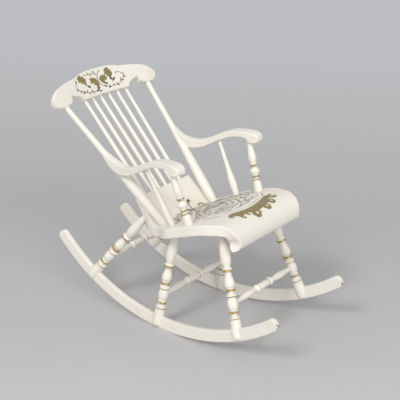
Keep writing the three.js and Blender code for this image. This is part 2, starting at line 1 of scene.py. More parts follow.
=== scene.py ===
# %% [markdown]
# # A painted rocking chair
# Chairs of this kind are mostly pine and birch, and this one wears a coat of ivory paint. Its seat
# is a plank that rolls over at the front, its back is a row of thin spindles under a broad crest
# rail, and six turned legs straddle two long rockers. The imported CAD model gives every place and
# size. This script dresses it: smooth turned and sawn forms, brushed paint, gilded rings and a
# stencilled ornament.

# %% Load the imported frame
import math
import random

import bmesh
import bpy
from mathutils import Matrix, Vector


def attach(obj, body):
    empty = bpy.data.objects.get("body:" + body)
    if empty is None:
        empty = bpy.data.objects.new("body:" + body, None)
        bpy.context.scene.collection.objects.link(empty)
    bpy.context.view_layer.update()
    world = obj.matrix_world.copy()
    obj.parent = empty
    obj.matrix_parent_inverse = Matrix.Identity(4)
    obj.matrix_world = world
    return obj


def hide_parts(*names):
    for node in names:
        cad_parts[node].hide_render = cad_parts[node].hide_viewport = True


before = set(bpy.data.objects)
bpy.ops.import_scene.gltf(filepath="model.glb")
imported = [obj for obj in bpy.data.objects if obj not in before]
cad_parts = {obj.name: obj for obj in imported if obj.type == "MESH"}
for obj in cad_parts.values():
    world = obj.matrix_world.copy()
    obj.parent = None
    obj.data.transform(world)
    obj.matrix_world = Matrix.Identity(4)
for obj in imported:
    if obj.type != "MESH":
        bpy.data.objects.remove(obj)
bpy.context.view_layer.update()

# %% [markdown]
# ## Where the drawn sizes lie
# A rocking chair stands where its weight balances on the arc. Its sizes are easier to read with the
# seat drawn a little further forward, so every point is drawn first and then rolled back round the
# centre of the rocker arc. The finished object could be turned instead, but the export wants every
# object unturned, so the points themselves move. Millimetres are kept for the drawing and turned to
# metres here. Outlines are tables of a few rows, which the second function reads as smooth curves.

# %% From the drawing to the floor
MM = 0.001
ARC_RADIUS = 833.0
REST_LEAN = 0.03
DRAWN_MIDDLE = 19.0
LEVEL_FACET_DROP = 0.34


def placed(point):
    """A drawn point in millimetres, rolled back to where it rests and turned to metres."""
    x, y, z = point
    low = z - ARC_RADIUS
    back = y * math.cos(REST_LEAN) + low * math.sin(REST_LEAN) - DRAWN_MIDDLE
    up = low * math.cos(REST_LEAN) - y * math.sin(REST_LEAN) + ARC_RADIUS - LEVEL_FACET_DROP
    return Vector((x, back, up)) * MM


def eased(rows, share):
    """Read a table of (share, value) rows as a smooth curve that never overshoots its rows."""
    last = len(rows) - 1
    if share <= rows[0][0]:
        return rows[0][1]
    if share >= rows[last][0]:
        return rows[last][1]
    slopes = [(rows[i + 1][1] - rows[i][1]) / (rows[i + 1][0] - rows[i][0]) for i in range(last)]
    i = max(k for k in range(last) if rows[k][0] <= share)
    span = rows[i + 1][0] - rows[i][0]

    def lean_at(k):
        if k in (0, last):
            return slopes[min(k, last - 1)]
        before, after = slopes[k - 1], slopes[k]
        return 0.0 if before * after <= 0 else 2 * before * after / (before + after)

    t = (share - rows[i][0]) / span
    start, end = rows[i][1], rows[i + 1][1]
    return ((2 * t**3 - 3 * t**2 + 1) * start + (t**3 - 2 * t**2 + t) * span * lean_at(i)
            + (3 * t**2 - 2 * t**3) * end + (t**3 - t**2) * span * lean_at(i + 1))


print("contact point", [round(v, 4) for v in placed((0, 0, 0))])

# %% [markdown]
# ## Fewer lines for nodes
# A material is a graph of nodes. Built by a script, each node takes a line to add, one for every
# value and one for every link, and the idea drowns in them. These helpers say a whole step in one
# line: add a node, read a noise, carry a range, multiply, mix.

# %% Helpers for shader nodes
def node(tree, kind, **values):
    """Add a node. A value goes to the input of its name, or else to the node's own setting."""
    made = tree.nodes.new(kind)
    for key, value in values.items():
        if key in made.inputs:
            made.inputs[key].default_value = value
        else:
            setattr(made, key, value)
    return made


def noise(tree, vector, scale, detail, roughness=0.5):
    made = node(tree, "ShaderNodeTexNoise", Scale=scale, Detail=detail, Roughness=roughness)
    tree.links.new(vector, made.inputs["Vector"])
    return made.outputs["Fac"]


def ranged(tree, value, before, after=(0.0, 1.0)):
    """Carry a value from one range to another, held at both ends."""
    made = tree.nodes.new("ShaderNodeMapRange")
    for key, bound in zip(("From Min", "From Max", "To Min", "To Max"), before + after):
        made.inputs[key].default_value = bound
    tree.links.new(value, made.inputs["Value"])
    return made.outputs["Result"]


def joined(tree, socket, value):
    """Give a socket a plain number or colour, or link it to another node's output."""
    if isinstance(value, (float, tuple)):
        socket.default_value = value
    else:
        tree.links.new(value, socket)


def product(tree, first, second):
    made = node(tree, "ShaderNodeMath", operation="MULTIPLY")
    joined(tree, made.inputs[0], first)
    joined(tree, made.inputs[1], second)
    return made.outputs[0]


def mixed(tree, amount, first, second):
    """Mix two colours. A Mix node keeps its colour sockets after those for numbers and vectors."""
    made = node(tree, "ShaderNodeMix", data_type="RGBA")
    joined(tree, made.inputs[0], amount)
    joined(tree, made.inputs[6], first)
    joined(tree, made.inputs[7], second)
    return made.outputs[2]


print("helpers", [helper.__name__ for helper in (node, noise, ranged, joined, product, mixed)])

# %% [markdown]
# ## Brushed paint
# Old hand-brushed paint is never one flat colour. It has fine strokes that catch the light, faint
# worn patches and a little grime. An image could show them, but it would have to be unwrapped onto
# every leg, so noise on Object coordinates is used, which runs over all pieces alike. One node group
# holds it, and each wood piece gets the same paint with its own direction of brushing. Only values
# that change over the surface leave the group; the shader itself stays in each material.

# %% Group: brushed paint
PATCHES_PER_METRE, SPECKS_PER_METRE, SPECK_HEIGHT = 9.0, 170.0, 0.35


def group_tree(name, inputs, outputs):
    tree = bpy.data.node_groups.new(name, "ShaderNodeTree")
    for label, kind, default in inputs:
        socket = tree.interface.new_socket(label, in_out="INPUT", socket_type=kind)
        socket.default_value = default
    for label, kind in outputs:
        tree.interface.new_socket(label, in_out="OUTPUT", socket_type=kind)
    return tree, tree.nodes.new("NodeGroupInput"), tree.nodes.new("NodeGroupOutput")


def brushed_paint_group():
    tree, given, out = group_tree(
        "Brushed paint",
        [("Paint", "NodeSocketColor", (0.8, 0.8, 0.8, 1)),
         ("Grime", "NodeSocketColor", (0.5, 0.4, 0.3, 1)),
         ("Patches", "NodeSocketFloat", 0.05),
         ("Stroke", "NodeSocketVector", (30, 400, 400))],
        [("Colour", "NodeSocketColor"), ("Roughness", "NodeSocketFloat"), ("Height", "NodeSocketFloat")])
    link = tree.links.new
    place = tree.nodes.new("ShaderNodeTexCoord").outputs["Object"]
    stretched = node(tree, "ShaderNodeVectorMath", operation="MULTIPLY")
    link(place, stretched.inputs[0])
    link(given.outputs["Stroke"], stretched.inputs[1])
    strokes = noise(tree, stretched.outputs[0], scale=1.0, detail=3.0, roughness=0.6)
    patches = noise(tree, place, scale=PATCHES_PER_METRE, detail=4.0, roughness=0.55)
    specks = noise(tree, place, scale=SPECKS_PER_METRE, detail=2.0)
    dirt = product(tree, ranged(tree, patches, (0.56, 0.8)), given.outputs["Patches"])
    link(mixed(tree, dirt, given.outputs["Paint"], given.outputs["Grime"]), out.inputs["Colour"])
    link(ranged(tree, patches, (0.3, 0.7), (0.34, 0.5)), out.inputs["Roughness"])
    height = node(tree, "ShaderNodeMath", operation="MULTIPLY_ADD")
    link(specks, height.inputs[0])
    height.inputs[1].default_value = SPECK_HEIGHT
    link(strokes, height.inputs[2])
    link(height.outputs[0], out.inputs["Height"])
    return tree


BRUSHED_PAINT = brushed_paint_group()
print("group", BRUSHED_PAINT.name, "with", len(BRUSHED_PAINT.nodes), "nodes")

# %% [markdown]
# ## Ivory paint on sawn wood
# The ivory is a warm white, and the brush ran along each board, so the strokes are stretched in that
# direction. It could be a plain colour, and from across a room it nearly is, but close by the brush
# marks and worn patches tell wood from plastic. The paint stands proud of the wood only by its own
# thickness, so the bump stays low.

# %% Material: ivory paint
IVORY = (0.81, 0.772, 0.692, 1)
WORN_IVORY = (0.66, 0.57, 0.42, 1)
VARNISH, VARNISH_ROUGHNESS = 0.1, 0.25
BRUSH_BUMP, BRUSH_RELIEF = 0.22, 0.0006


def paint_material(name, stroke, patches=0.35, paint=IVORY):
    """Brushed paint. stroke says how often it changes in a metre along X, Y and Z."""
    made = bpy.data.materials.new(name)
    made.use_nodes = True
    tree = made.node_tree
    shader = tree.nodes["Principled BSDF"]
    shader.inputs["Coat Weight"].default_value = VARNISH
    shader.inputs["Coat Roughness"].default_value = VARNISH_ROUGHNESS
    coat = node(tree, "ShaderNodeGroup", node_tree=BRUSHED_PAINT)
    coat.inputs["Paint"].default_value = paint
    coat.inputs["Grime"].default_value = WORN_IVORY
    coat.inputs["Patches"].default_value = patches
    coat.inputs["Stroke"].default_value = stroke
    bump = node(tree, "ShaderNodeBump", Strength=BRUSH_BUMP, Distance=BRUSH_RELIEF)
    link = tree.links.new
    link(coat.outputs["Colour"], shader.inputs["Base Color"])
    link(coat.outputs["Roughness"], shader.inputs["Roughness"])
    link(coat.outputs["Height"], bump.inputs["Height"])
    link(bump.outputs["Normal"], shader.inputs["Normal"])
    return made


def paint_parts(material):
    """The tree of a paint material, its shader and its coat of brushed paint."""
    tree = material.node_tree
    return tree, tree.nodes["Principled BSDF"], next(n for n in tree.nodes if n.type == "GROUP")


ACROSS = paint_material("ivory_paint_brushed_across", (25, 380, 380))
ALONG_DEPTH = paint_material("ivory_paint_brushed_front_to_back", (380, 25, 380))
print("paints", ACROSS.name, ALONG_DEPTH.name)

# %% [markdown]
# ## Turned wood with gilded rings
# The turner cut rings and hollows, and the painter gilded some rings. Thin dark bands lie at the edges
# of some rings and in the grooves beside them. Gold paint has no thickness that shows, so the bands
# are colour and not geometry. Each turned piece carries an attribute that runs from 0 at its foot to 1
# at its top, and colour ramps read that share, so the bands stay on their rings wherever the piece
# leans. Noise rubs them away in places.

# %% Material: gilded rings
GOLD = (0.4, 0.29, 0.1, 1)
DARK_LINE = (0.19, 0.13, 0.055, 1)
GILT_METAL, BAND_EDGE = 0.35, 0.002
ROUND_STROKE = (300, 300, 60)


def band_mask(tree, along, bands, edge):
    """A ramp that is white inside each (start, end) band and black outside."""
    ramp = tree.nodes.new("ShaderNodeValToRGB")
    stops = ramp.color_ramp.elements
    stops[0].position, stops[0].color = 0.0, (0, 0, 0, 1)
    stops[1].position, stops[1].color = 1.0, (0, 0, 0, 1)
    for start, end in bands:
        for position, value in ((start - edge, 0), (start, 1), (end, 1), (end + edge, 0)):
            stop = stops.new(min(0.999, max(0.001, position)))
            stop.color = (value, value, value, 1)
    tree.links.new(along, ramp.inputs["Fac"])
    return ramp.outputs["Color"]


def banded_material(name, gold_bands, dark_bands, edge=BAND_EDGE):
    """Paint with gold and dark bands. Each band is a pair of shares of the piece's length."""
    made = paint_material(name, ROUND_STROKE)
    tree, shader, coat = paint_parts(made)
    along = node(tree, "ShaderNodeAttribute", attribute_name="along").outputs["Fac"]
    place = tree.nodes.new("ShaderNodeTexCoord").outputs["Object"]
    kept = ranged(tree, noise(tree, place, scale=140.0, detail=3.0), (0.34, 0.46), (0.25, 1.0))
    colour = mixed(tree, product(tree, band_mask(tree, along, dark_bands, edge), kept),
                   coat.outputs["Colour"], DARK_LINE)
    if gold_bands:
        gilt = product(tree, band_mask(tree, along, gold_bands, edge), kept)
        colour = mixed(tree, gilt, colour, GOLD)
        tree.links.new(product(tree, gilt, GILT_METAL), shader.inputs["Metallic"])
    tree.links.new(colour, shader.inputs["Base Color"])
    return made


plain_paint = paint_material("ivory_paint_turned", ROUND_STROKE)
print("gold", GOLD[:3], "dark", DARK_LINE[:3])

# %% [markdown]
# ## How every tree starts and ends
# Geometry Nodes build a shape from rules, and each tree here is built by the script. All of them
# take geometry and a finish, and all must end the same way, because the export drops instances: the
# instances are made real and the material is put on. Two helpers hold that, so a tree shows only
# what is its own.

# %% Geometry Nodes: start and end
def geometry_tree(name, *inputs):
    """Start a tree with geometry in and out, and its own named inputs before the finish."""
    tree = bpy.data.node_groups.new(name, "GeometryNodeTree")
    face = tree.interface
    face.new_socket("Geometry", in_out="INPUT", socket_type="NodeSocketGeometry")
    for label, kind in inputs + (("Finish", "NodeSocketMaterial"),):
        face.new_socket(label, in_out="INPUT", socket_type=kind)
    face.new_socket("Geometry", in_out="OUTPUT", socket_type="NodeSocketGeometry")
    return tree, tree.nodes.new("NodeGroupInput"), tree.nodes.new("NodeGroupOutput")


def end_tree(tree, given, result, out):
    """End a tree with its instances made real and the finish put on."""
    link = tree.links.new
    solid = tree.nodes.new("GeometryNodeRealizeInstances")
    finish = tree.nodes.new("GeometryNodeSetMaterial")
    link(result, solid.inputs["Geometry"])
    link(solid.outputs["Geometry"], finish.inputs["Geometry"])
    link(given.outputs["Finish"], finish.inputs["Material"])
    link(finish.outputs["Geometry"], out.inputs["Geometry"])


print("helpers", geometry_tree.__name__, end_tree.__name__)

# %% [markdown]
# ## Turning on a path
# A lathe makes a round solid from a profile. The Screw modifier does the same about an axis, but
# every piece would then have to be turned into place. This tree takes a polyline that already lies
# in place, and whose points carry a girth, sweeps a circle along it and caps the ends. Every leg,
# stretcher, post and spindle is one such line, so one tree serves them all.

# %% Geometry Nodes: turned round
def turned_round_tree():
    tree, given, out = geometry_tree("Turned round", ("Facets round", "NodeSocketInt"))
    line = tree.nodes.new("GeometryNodeMeshToCurve")
    girth = node(tree, "GeometryNodeInputNamedAttribute", Name="girth")
    circle = node(tree, "GeometryNodeCurvePrimitiveCircle", Radius=1.0)
    sweep = node(tree, "GeometryNodeCurveToMesh", **{"Fill Caps": True})
    link = tree.links.new
    link(given.outputs["Geometry"], line.inputs["Mesh"])
    link(given.outputs["Facets round"], circle.inputs["Resolution"])
    link(line.outputs["Curve"], sweep.inputs["Curve"])
    link(circle.outputs["Curve"], sweep.inputs["Profile Curve"])
    link(girth.outputs["Attribute"], sweep.inputs["Scale"])
    end_tree(tree, given, sweep.outputs["Mesh"], out)
    return tree


TURNED_ROUND = turned_round_tree()
print("tree", TURNED_ROUND.name, "with", len(TURNED_ROUND.nodes), "nodes")

# %% [markdown]
# ## From nodes to a plain mesh
# The export keeps meshes and not trees. So a tree is run once on a helper object, the evaluated
# result is copied into a mesh of its own, and the helper goes, and its modifier with it. A finished
# piece then says which CAD node it replaces and which body it rides on.

# %% Run a tree and finish a piece
def shown(name, mesh):
    piece = bpy.data.objects.new(name, mesh)
    bpy.context.scene.collection.objects.link(piece)
    return piece


def modifier_inputs(tree):
    """The identifier of each input, by which a modifier's values are set."""
    return {item.name: item.identifier for item in tree.interface.items_tree if item.in_out == "INPUT"}


def made_by_nodes(name, source, tree, values):
    """Run a tree on a source mesh and keep the result as a plain mesh object."""
    helper = shown(name + "_source", source)
    modifier = helper.modifiers.new("nodes", "NODES")
    modifier.node_group = tree
    sockets = modifier_inputs(tree)
    for label, value in values.items():
        modifier[sockets[label]] = value
    helper.update_tag()
    bpy.context.view_layer.update()
    seen = helper.evaluated_get(bpy.context.evaluated_depsgraph_get())
    mesh = bpy.data.meshes.new_from_object(seen)
    bpy.data.objects.remove(helper)
    mesh.name = name
    return shown(name, mesh)


def finished(piece, node_name):
    piece.data.shade_smooth()
    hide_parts(node_name)
    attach(piece, "root")


print("inputs", list(modifier_inputs(TURNED_ROUND)))

# %% [markdown]
# ## Profiles
# A turned profile is a table: how far along the piece, and how thick there. It could be a drawn
# curve, but a table reads like the stick on which a turner marks the rings. Between rows the width
# is eased, so vases and swellings are smooth, but two rows close together stay a crisp shoulder.

# %% Turn one piece
FLOW_STEP = 0.006
FACETS_ROUND = 40
TURNED_SHARP_ANGLE = math.radians(38)


def flowing(rows):
    """The rows of a profile with steps between them, close enough to look smooth."""
    shares = [rows[0][0]]
    for before, after in zip(rows, rows[1:]):
        steps = max(1, round((after[0] - before[0]) / FLOW_STEP))
        shares += [before[0] + (after[0] - before[0]) * k / steps for k in range(1, steps + 1)]
    return [(share, eased(rows, share)) for share in shares]


def point_values(mesh, name, values):
    mesh.attributes.new(name, "FLOAT", "POINT").data.foreach_set("value", values)


def turned(name, foot, top, radius, rows, finish, over=(0.0, 0.0)):
    """Turn a piece from foot to top in drawn millimetres. over runs its ends on into their seats."""
    start, end = placed(foot), placed(top)
    path = end - start
    profile = flowing(rows)
    if over[0]:
        profile = [(-over[0] * MM / path.length, profile[0][1])] + profile
    if over[1]:
        profile = profile + [(1 + over[1] * MM / path.length, profile[-1][1])]
    line = bpy.data.meshes.new(name + "_line")
    points = [start + path * share for share, _ in profile]
    line.from_pydata(points, [(i, i + 1) for i in range(len(points) - 1)], [])
    point_values(line, "girth", [width * radius * MM for _, width in profile])
    point_values(line, "along", [share for share, _ in profile])
    piece = made_by_nodes(name, line, TURNED_ROUND, {"Facets round": FACETS_ROUND, "Finish": finish})
    finished(piece, name)
    piece.data.set_sharp_from_angle(angle=TURNED_SHARP_ANGLE)


print("rows of a straight profile", len(flowing([(0, 1), (1, 1)])))

# %% [markdown]
# ## Sawn and rounded boards
# Every flat member is a board whose section changes along its length: the seat bends through a
# roll, the arms snake, the crest has ears. A box with a Bevel modifier fails where the outline turns
# fast, as at the ears, so the rounding is part of each section. A section is four corners, softened
# as a spokeshave does, and the sections are skinned into one closed form.

# %% Skin sections into a board
CORNER_STEPS = 4
CORNER_LIMIT, FLAT_KEEP = 0.29, 1.7
BOARD_SHARP_ANGLE = math.radians(50)
SAME_POINT = 1e-6


def rounded_section(corners, rounding):
    """A closed ring through four corners, each cut back by the rounding, but not past a share."""
    ring = []
    for k, corner in enumerate(corners):
        before, after = corners[k - 1], corners[(k + 1) % len(corners)]
        back, forth = before - corner, after - corner
        cut_back = min(rounding, back.length * CORNER_LIMIT)
        cut_forth = min(rounding, forth.length * CORNER_LIMIT)
        start = corner + back.normalized() * cut_back
        end = corner + forth.normalized() * cut_forth
        ring.append(corner + back.normalized() * cut_back * FLAT_KEEP)
        for i in range(CORNER_STEPS + 1):
            t = i / CORNER_STEPS
            ring.append(start * (1 - t) ** 2 + corner * 2 * t * (1 - t) + end * t**2)
        ring.append(corner + forth.normalized() * cut_forth * FLAT_KEEP)
    return ring


def outward(mesh):
    """Weld a mesh and turn all its faces outwards."""
    form = bmesh.new()
    form.from_mesh(mesh)
    bmesh.ops.remove_doubles(form, verts=form.verts, dist=SAME_POINT)
    bmesh.ops.recalc_face_normals(form, faces=form.faces)
    form.to_mesh(mesh)
    form.free()


def skinned(name, sections, rounding, finish):
    """Skin drawn sections of four corners each. The rounding is one value, or one a section."""
    softness = rounding if isinstance(rounding, list) else [rounding] * len(sections)
    rings = [rounded_section([placed(corner) for corner in section], soft * MM)
             for section, soft in zip(sections, softness)]
    count = len(rings[0])
    faces = []
    for i in range(len(rings) - 1):
        for k in range(count):
            a, b = i * count + k, i * count + (k + 1) % count
            faces.append((a, b, b + count, a + count))
    last = (len(rings) - 1) * count
    faces.append(tuple(reversed(range(count))))
    faces.append(tuple(range(last, last + count)))
    mesh = bpy.data.meshes.new(name)
    mesh.from_pydata([point for ring in rings for point in ring], [], faces)
    outward(mesh)
    mesh.materials.append(finish)
    finished(shown(name, mesh), name)
    mesh.set_sharp_from_angle(angle=BOARD_SHARP_ANGLE)


print("points round a section", 4 * (CORNER_STEPS + 3))

# %% [markdown]
# ## The seat
# The seat dips for the sitter, rolls over at the knees and sweeps up at the back into a riser that
# holds the spindles. A plain board could be bent by modifiers, but the roll has a hollow under it.
# So its upper and lower rails are drawn side by side, from the lip of the roll to the top of the
# riser.

# %% Seat sizes and rails
SEAT_FRONT, SEAT_DEPTH = -322.0, 402.0
SEAT_LOW, SEAT_RISE, SEAT_THICK = 411.0, 100.0, 40.0
SEAT_REAR = SEAT_FRONT + SEAT_DEPTH
DISH = [(0.19, 1.0), (0.35, 0.91), (0.5, 0.73), (0.7, 0.45), (0.85, 0.22), (1.0, 0.0)]
ROLL_END = SEAT_FRONT + DISH[0][0] * SEAT_DEPTH
ROLL_TOP, ROLL_DROP, LIP, FILLET = SEAT_LOW + SEAT_RISE, 70.0, 25.0, 14.0
ROLL_JOINT = SEAT_FRONT + 0.26 * SEAT_DEPTH
BACK_RAKE = 0.722
RISER_RUN, RISER_HEIGHT, RISER_TOP = 110.0, 88.0, 24.0
PLAN = [(-322, 200), (-313, 210), (-296, 217), (-283, 221), (-246, 232), (-188, 252), (-121, 262),
        (-30, 262), (-8, 256), (20, 234), (45, 210), (64, 200), (80, 196), (104, 188), (116, 183),
        (130, 177), (146, 169), (165, 164), (190, 161), (230, 161)]
LIP_STEPS, ROLL_STEPS, BOARD_STEPS, RISER_STEPS = 8, 20, 60, 24
LIP_START, HOLLOW_SHARE = 0.12, 0.45


def seat_top_at(y):
    return SEAT_LOW + SEAT_RISE * eased(DISH, (y - SEAT_FRONT) / SEAT_DEPTH)


def bent(start, bend, end, t):
    """A point on the curve from start to end that heads for the bend between them."""
    return tuple(a * (1 - t) ** 2 + 2 * b * t * (1 - t) + c * t**2 for a, b, c in zip(start, bend, end))


def seat_rails():
    """Pairs of (y, z) points over and under the plank, from the lip to the riser's top."""
    pairs = []
    lip_y, lip_z = SEAT_FRONT + LIP, ROLL_TOP - ROLL_DROP
    for i in range(LIP_STEPS):
        turn = math.pi / 2 * (LIP_START + (1 - LIP_START) * i / LIP_STEPS)
        reach, z = LIP * math.sin(turn), lip_z - LIP * math.cos(turn)
        pairs.append(((lip_y - reach, z), (lip_y + reach, z)))
    inner_y = SEAT_FRONT + 2 * LIP
    inner_z = seat_top_at(inner_y + 2 * FILLET) - SEAT_THICK
    for i in range(ROLL_STEPS + 1):
        share = i / ROLL_STEPS
        turn = math.pi / 2 * share
        over = (ROLL_END - (ROLL_END - SEAT_FRONT) * math.cos(turn),
                ROLL_TOP - ROLL_DROP * (1 - math.sin(turn)))
        if share < HOLLOW_SHARE:
            under = (inner_y, lip_z + (inner_z - FILLET - lip_z) * share / HOLLOW_SHARE)
        else:
            turn = math.pi / 2 * (share - HOLLOW_SHARE) / (1 - HOLLOW_SHARE)
            under = (inner_y + FILLET * (1 - math.cos(turn)), inner_z - FILLET * (1 - math.sin(turn)))
        pairs.append((over, under))
    under_start = inner_y + FILLET
    for i in range(1, BOARD_STEPS + 1):
        t = i / BOARD_STEPS
        over_y = ROLL_END + (SEAT_REAR - ROLL_END) * t
        under_y = under_start + (SEAT_REAR - under_start) * t
        pairs.append(((over_y, seat_top_at(over_y)), (under_y, seat_top_at(under_y) - SEAT_THICK)))
    top = (SEAT_REAR + RISER_RUN, SEAT_LOW + RISER_HEIGHT)
    rear = (top[0] + RISER_TOP * math.cos(BACK_RAKE), top[1] - RISER_TOP * math.sin(BACK_RAKE))
    bend, heel = (SEAT_REAR + RISER_RUN / 4, SEAT_LOW), (SEAT_REAR + RISER_RUN / 2, SEAT_LOW - SEAT_THICK)
    for i in range(1, RISER_STEPS + 1):
        t = i / RISER_STEPS
        pairs.append((bent((SEAT_REAR, SEAT_LOW), bend, top, t),
                      bent((SEAT_REAR, SEAT_LOW - SEAT_THICK), heel, rear, t)))
    return pairs


RAILS = seat_rails()
print("seat rails", len(RAILS), "pairs")

# %% [markdown]
# ## Three glued parts
# The roll, the board and the riser are glued edge to edge. Each is skinned from its own stretch of
# the rails, so they meet without a gap. The plan says how wide the seat is at each depth: narrow at
# the knees, widest under the arms and narrow again where it curves up into the riser.

# %% The seat's three glued parts
SEAT_ROUNDING, UNDERSIDE_SPREAD = 4.5, 2.0


def seat_section(pair):
    (over_y, over_z), (under_y, under_z) = pair
    over_half = under_half = eased(PLAN, over_y)
    if under_y > SEAT_REAR:
        under_half = min(over_half + UNDERSIDE_SPREAD, eased(PLAN, under_y))
    return [(-over_half, over_y, over_z), (over_half, over_y, over_z),
            (under_half, under_y, under_z), (-under_half, under_y, under_z)]


seat_sections = [seat_section(pair) for pair in RAILS]
roll_last = min(i for i, (over, _) in enumerate(RAILS) if i > LIP_STEPS and over[0] > ROLL_JOINT)
riser_first = max(i for i, (over, _) in enumerate(RAILS) if over[0] <= SEAT_REAR)
skinned("seat_front_roll", seat_sections[:roll_last + 1], SEAT_ROUNDING, ACROSS)
skinned("seat_board", seat_sections[roll_last:riser_first + 1], SEAT_ROUNDING, ACROSS)
skinned("seat_rear_riser", seat_sections[riser_first:], SEAT_ROUNDING, ACROSS)
print("seat joints at", round(RAILS[roll_last][0][0]), "and", round(RAILS[riser_first][0][0]), "mm")

# %% [markdown]
# ## The crest rail
# The crest is a thick board, bowed so its ends come forward, with a raised middle and drooping ears
# that cap the posts. It could be cut out of a bent box, but cuts leave ragged faces for the stencil
# to lie on. So it is skinned from upright sections between an upper and a lower outline, with more
# of them where those turn.

# %% Crest outline
CREST_FRONT, CREST_FOOT, CREST_HEIGHT, CREST_HALF = 489.0, 831.0, 91.5, 303.0
CREST_THICK, CREST_TOP_THICK, CREST_FACE_RAKE, CREST_BOW = 31.0, 24.0, 0.6, 25.0
CREST_OVER = [(0, 1), (0.2, 0.99), (0.3, 0.965), (0.38, 0.93), (0.42, 0.885), (0.52, 0.865),
              (0.66, 0.82), (0.78, 0.76), (0.88, 0.67), (0.95, 0.54), (0.985, 0.43), (1, 0.3)]
CREST_UNDER = [(0, 0), (0.435, 0), (0.46, 0.09), (0.51, 0.19), (0.6, 0.27), (0.66, 0.31), (0.664, 0.2),
               (0.68, 0.12), (0.73, 0.05), (0.82, 0.01), (0.91, 0.02), (0.97, 0.11), (1, 0.26)]
CREST_STEPS, EAR_STEPS, FIRST_EAR_STEP = 60, 40, 34
CREST_TURNS = {0.2, 0.285, 0.31, 0.425, 0.43, 0.66, 0.662, 0.664, 0.67, 0.68, 0.69}
CREST_ROUNDING, EAR_ROUNDING, EARS_FROM = 4.5, 12.0, 0.8


def crest_bow(x):
    """How far the crest has come forward at x."""
    return CREST_BOW * (1 - math.cos(math.pi * x / CREST_HALF)) / 2


def crest_face(x, rise):
    """A point on the crest's front face."""
    return (x, CREST_FRONT - crest_bow(x) + rise * math.tan(CREST_FACE_RAKE), CREST_FOOT + rise)


def crest_back(x, rise):
    """The point on its back, straight behind along the lean of the spindles."""
    thick = CREST_THICK + (CREST_TOP_THICK - CREST_THICK) * rise / CREST_HEIGHT
    across = thick / (math.cos(BACK_RAKE) + math.sin(BACK_RAKE) * math.tan(CREST_FACE_RAKE))
    _, y, z = crest_face(x, rise)
    return (x, y + across * math.cos(BACK_RAKE), z - across * math.sin(BACK_RAKE))


def crest_stations():
    """Shares of the half length, closer together where the outline turns and at the ears' ends."""
    shares = {k / CREST_STEPS for k in range(CREST_STEPS + 1)} | CREST_TURNS
    shares |= {math.sin(math.pi / 2 * k / EAR_STEPS) for k in range(FIRST_EAR_STEP, EAR_STEPS + 1)}
    half = sorted(shares)
    return [-share for share in reversed(half[1:])] + half


stations = crest_stations()
print("crest stations", len(stations))

# %% [markdown]
# ## Sections of the crest
# Each section has four corners, two on the front face and two on the back. The ears are rounded
# over far more than the middle, because hands take hold of them.

# %% Crest
crest_sections, crest_softness = [], []
for share in stations:
    x, out = share * CREST_HALF, abs(share)
    over, under = eased(CREST_OVER, out) * CREST_HEIGHT, eased(CREST_UNDER, out) * CREST_HEIGHT
    crest_sections.append([crest_face(x, under), crest_face(x, over),
                           crest_back(x, over), crest_back(x, under)])
    ear = max(0.0, out - EARS_FROM) / (1 - EARS_FROM)
    crest_softness.append(CREST_ROUNDING + (EAR_ROUNDING - CREST_ROUNDING) * ear)
skinned("crest_rail", crest_sections, crest_softness, ACROSS)
print("crest sections", len(crest_sections))

# %% [markdown]
# ## The arms
# Each arm is sawn to an S and shaved round. Its front drops in a small scroll over the baluster, and
# its tail feathers up the front of the back post. A bevelled curve keeps one section all along, and
# here height, width and depth all change, so the arm is skinned from sections that read one table
# each.

# %% Arm outline
ARM_TIP_X, ARM_TIP_Y, ARM_SPLAY = 255.0, -95.0, 0.12
ARM_HEIGHT, ARM_REACH, ARM_DEPTH, ARM_HALF = 712.0, 395.0, 100.0, 25.0
ARM_OVER = [(0, 0.27), (0.008, 0.15), (0.04, 0.05), (0.08, 0.01), (0.134, 0), (0.27, 0.04), (0.395, 0.18),
            (0.476, 0.335), (0.57, 0.54), (0.65, 0.67), (0.72, 0.735), (0.78, 0.755), (0.84, 0.735),
            (0.9, 0.675), (0.95, 0.59), (1.0, 0.48), (1.05, 0.35), (1.09, 0.25), (1.13, 0.17)]
ARM_UNDER = [(0, 0.31), (0.03, 0.39), (0.07, 0.43), (0.1, 0.425), (0.118, 0.39), (0.132, 0.31),
             (0.145, 0.265), (0.19, 0.25), (0.25, 0.265), (0.327, 0.33), (0.395, 0.44), (0.476, 0.6),
             (0.567, 0.8), (0.65, 0.97), (0.744, 1.09), (0.828, 1.12), (0.9, 1.06), (0.97, 0.86),
             (1.05, 0.5), (1.13, 0.2)]
ARM_WIDTH = [(0, 0.72), (0.01, 0.84), (0.03, 0.94), (0.07, 1), (0.2, 1), (0.4, 0.86), (0.6, 0.7),
             (0.74, 0.64), (0.84, 0.62), (0.95, 0.58), (1.0, 0.54), (1.05, 0.48), (1.13, 0.36)]
ARM_FOLLOW = [(0, 0), (0.7, 0), (0.8, -2), (0.9, -2), (0.95, 1), (1.0, 5), (1.07, 11), (1.13, 17)]
ARM_TAIL, ARM_STEPS, ARM_CROWDING = 1.13, 90, 1.25
ARM_ROUNDING, TIP_ROUNDING, TIP_SHARE = 3.5, 5.0, 0.25


def arm_point(side, along, across, down):
    """A point of an arm. Its tail follows the post outwards by the last table."""
    turn = side * math.atan(ARM_SPLAY)
    y = along * ARM_REACH
    middle = side * (ARM_TIP_X + eased(ARM_FOLLOW, along))
    return (middle + across * math.cos(turn) - y * math.sin(turn),
            ARM_TIP_Y + across * math.sin(turn) + y * math.cos(turn), ARM_HEIGHT - down * ARM_DEPTH)


def arm_under_at(y):
    return ARM_HEIGHT - ARM_DEPTH * eased(ARM_UNDER, (y - ARM_TIP_Y) / ARM_REACH)


print("arm under the scroll", round(arm_under_at(ARM_TIP_Y)), "mm up")

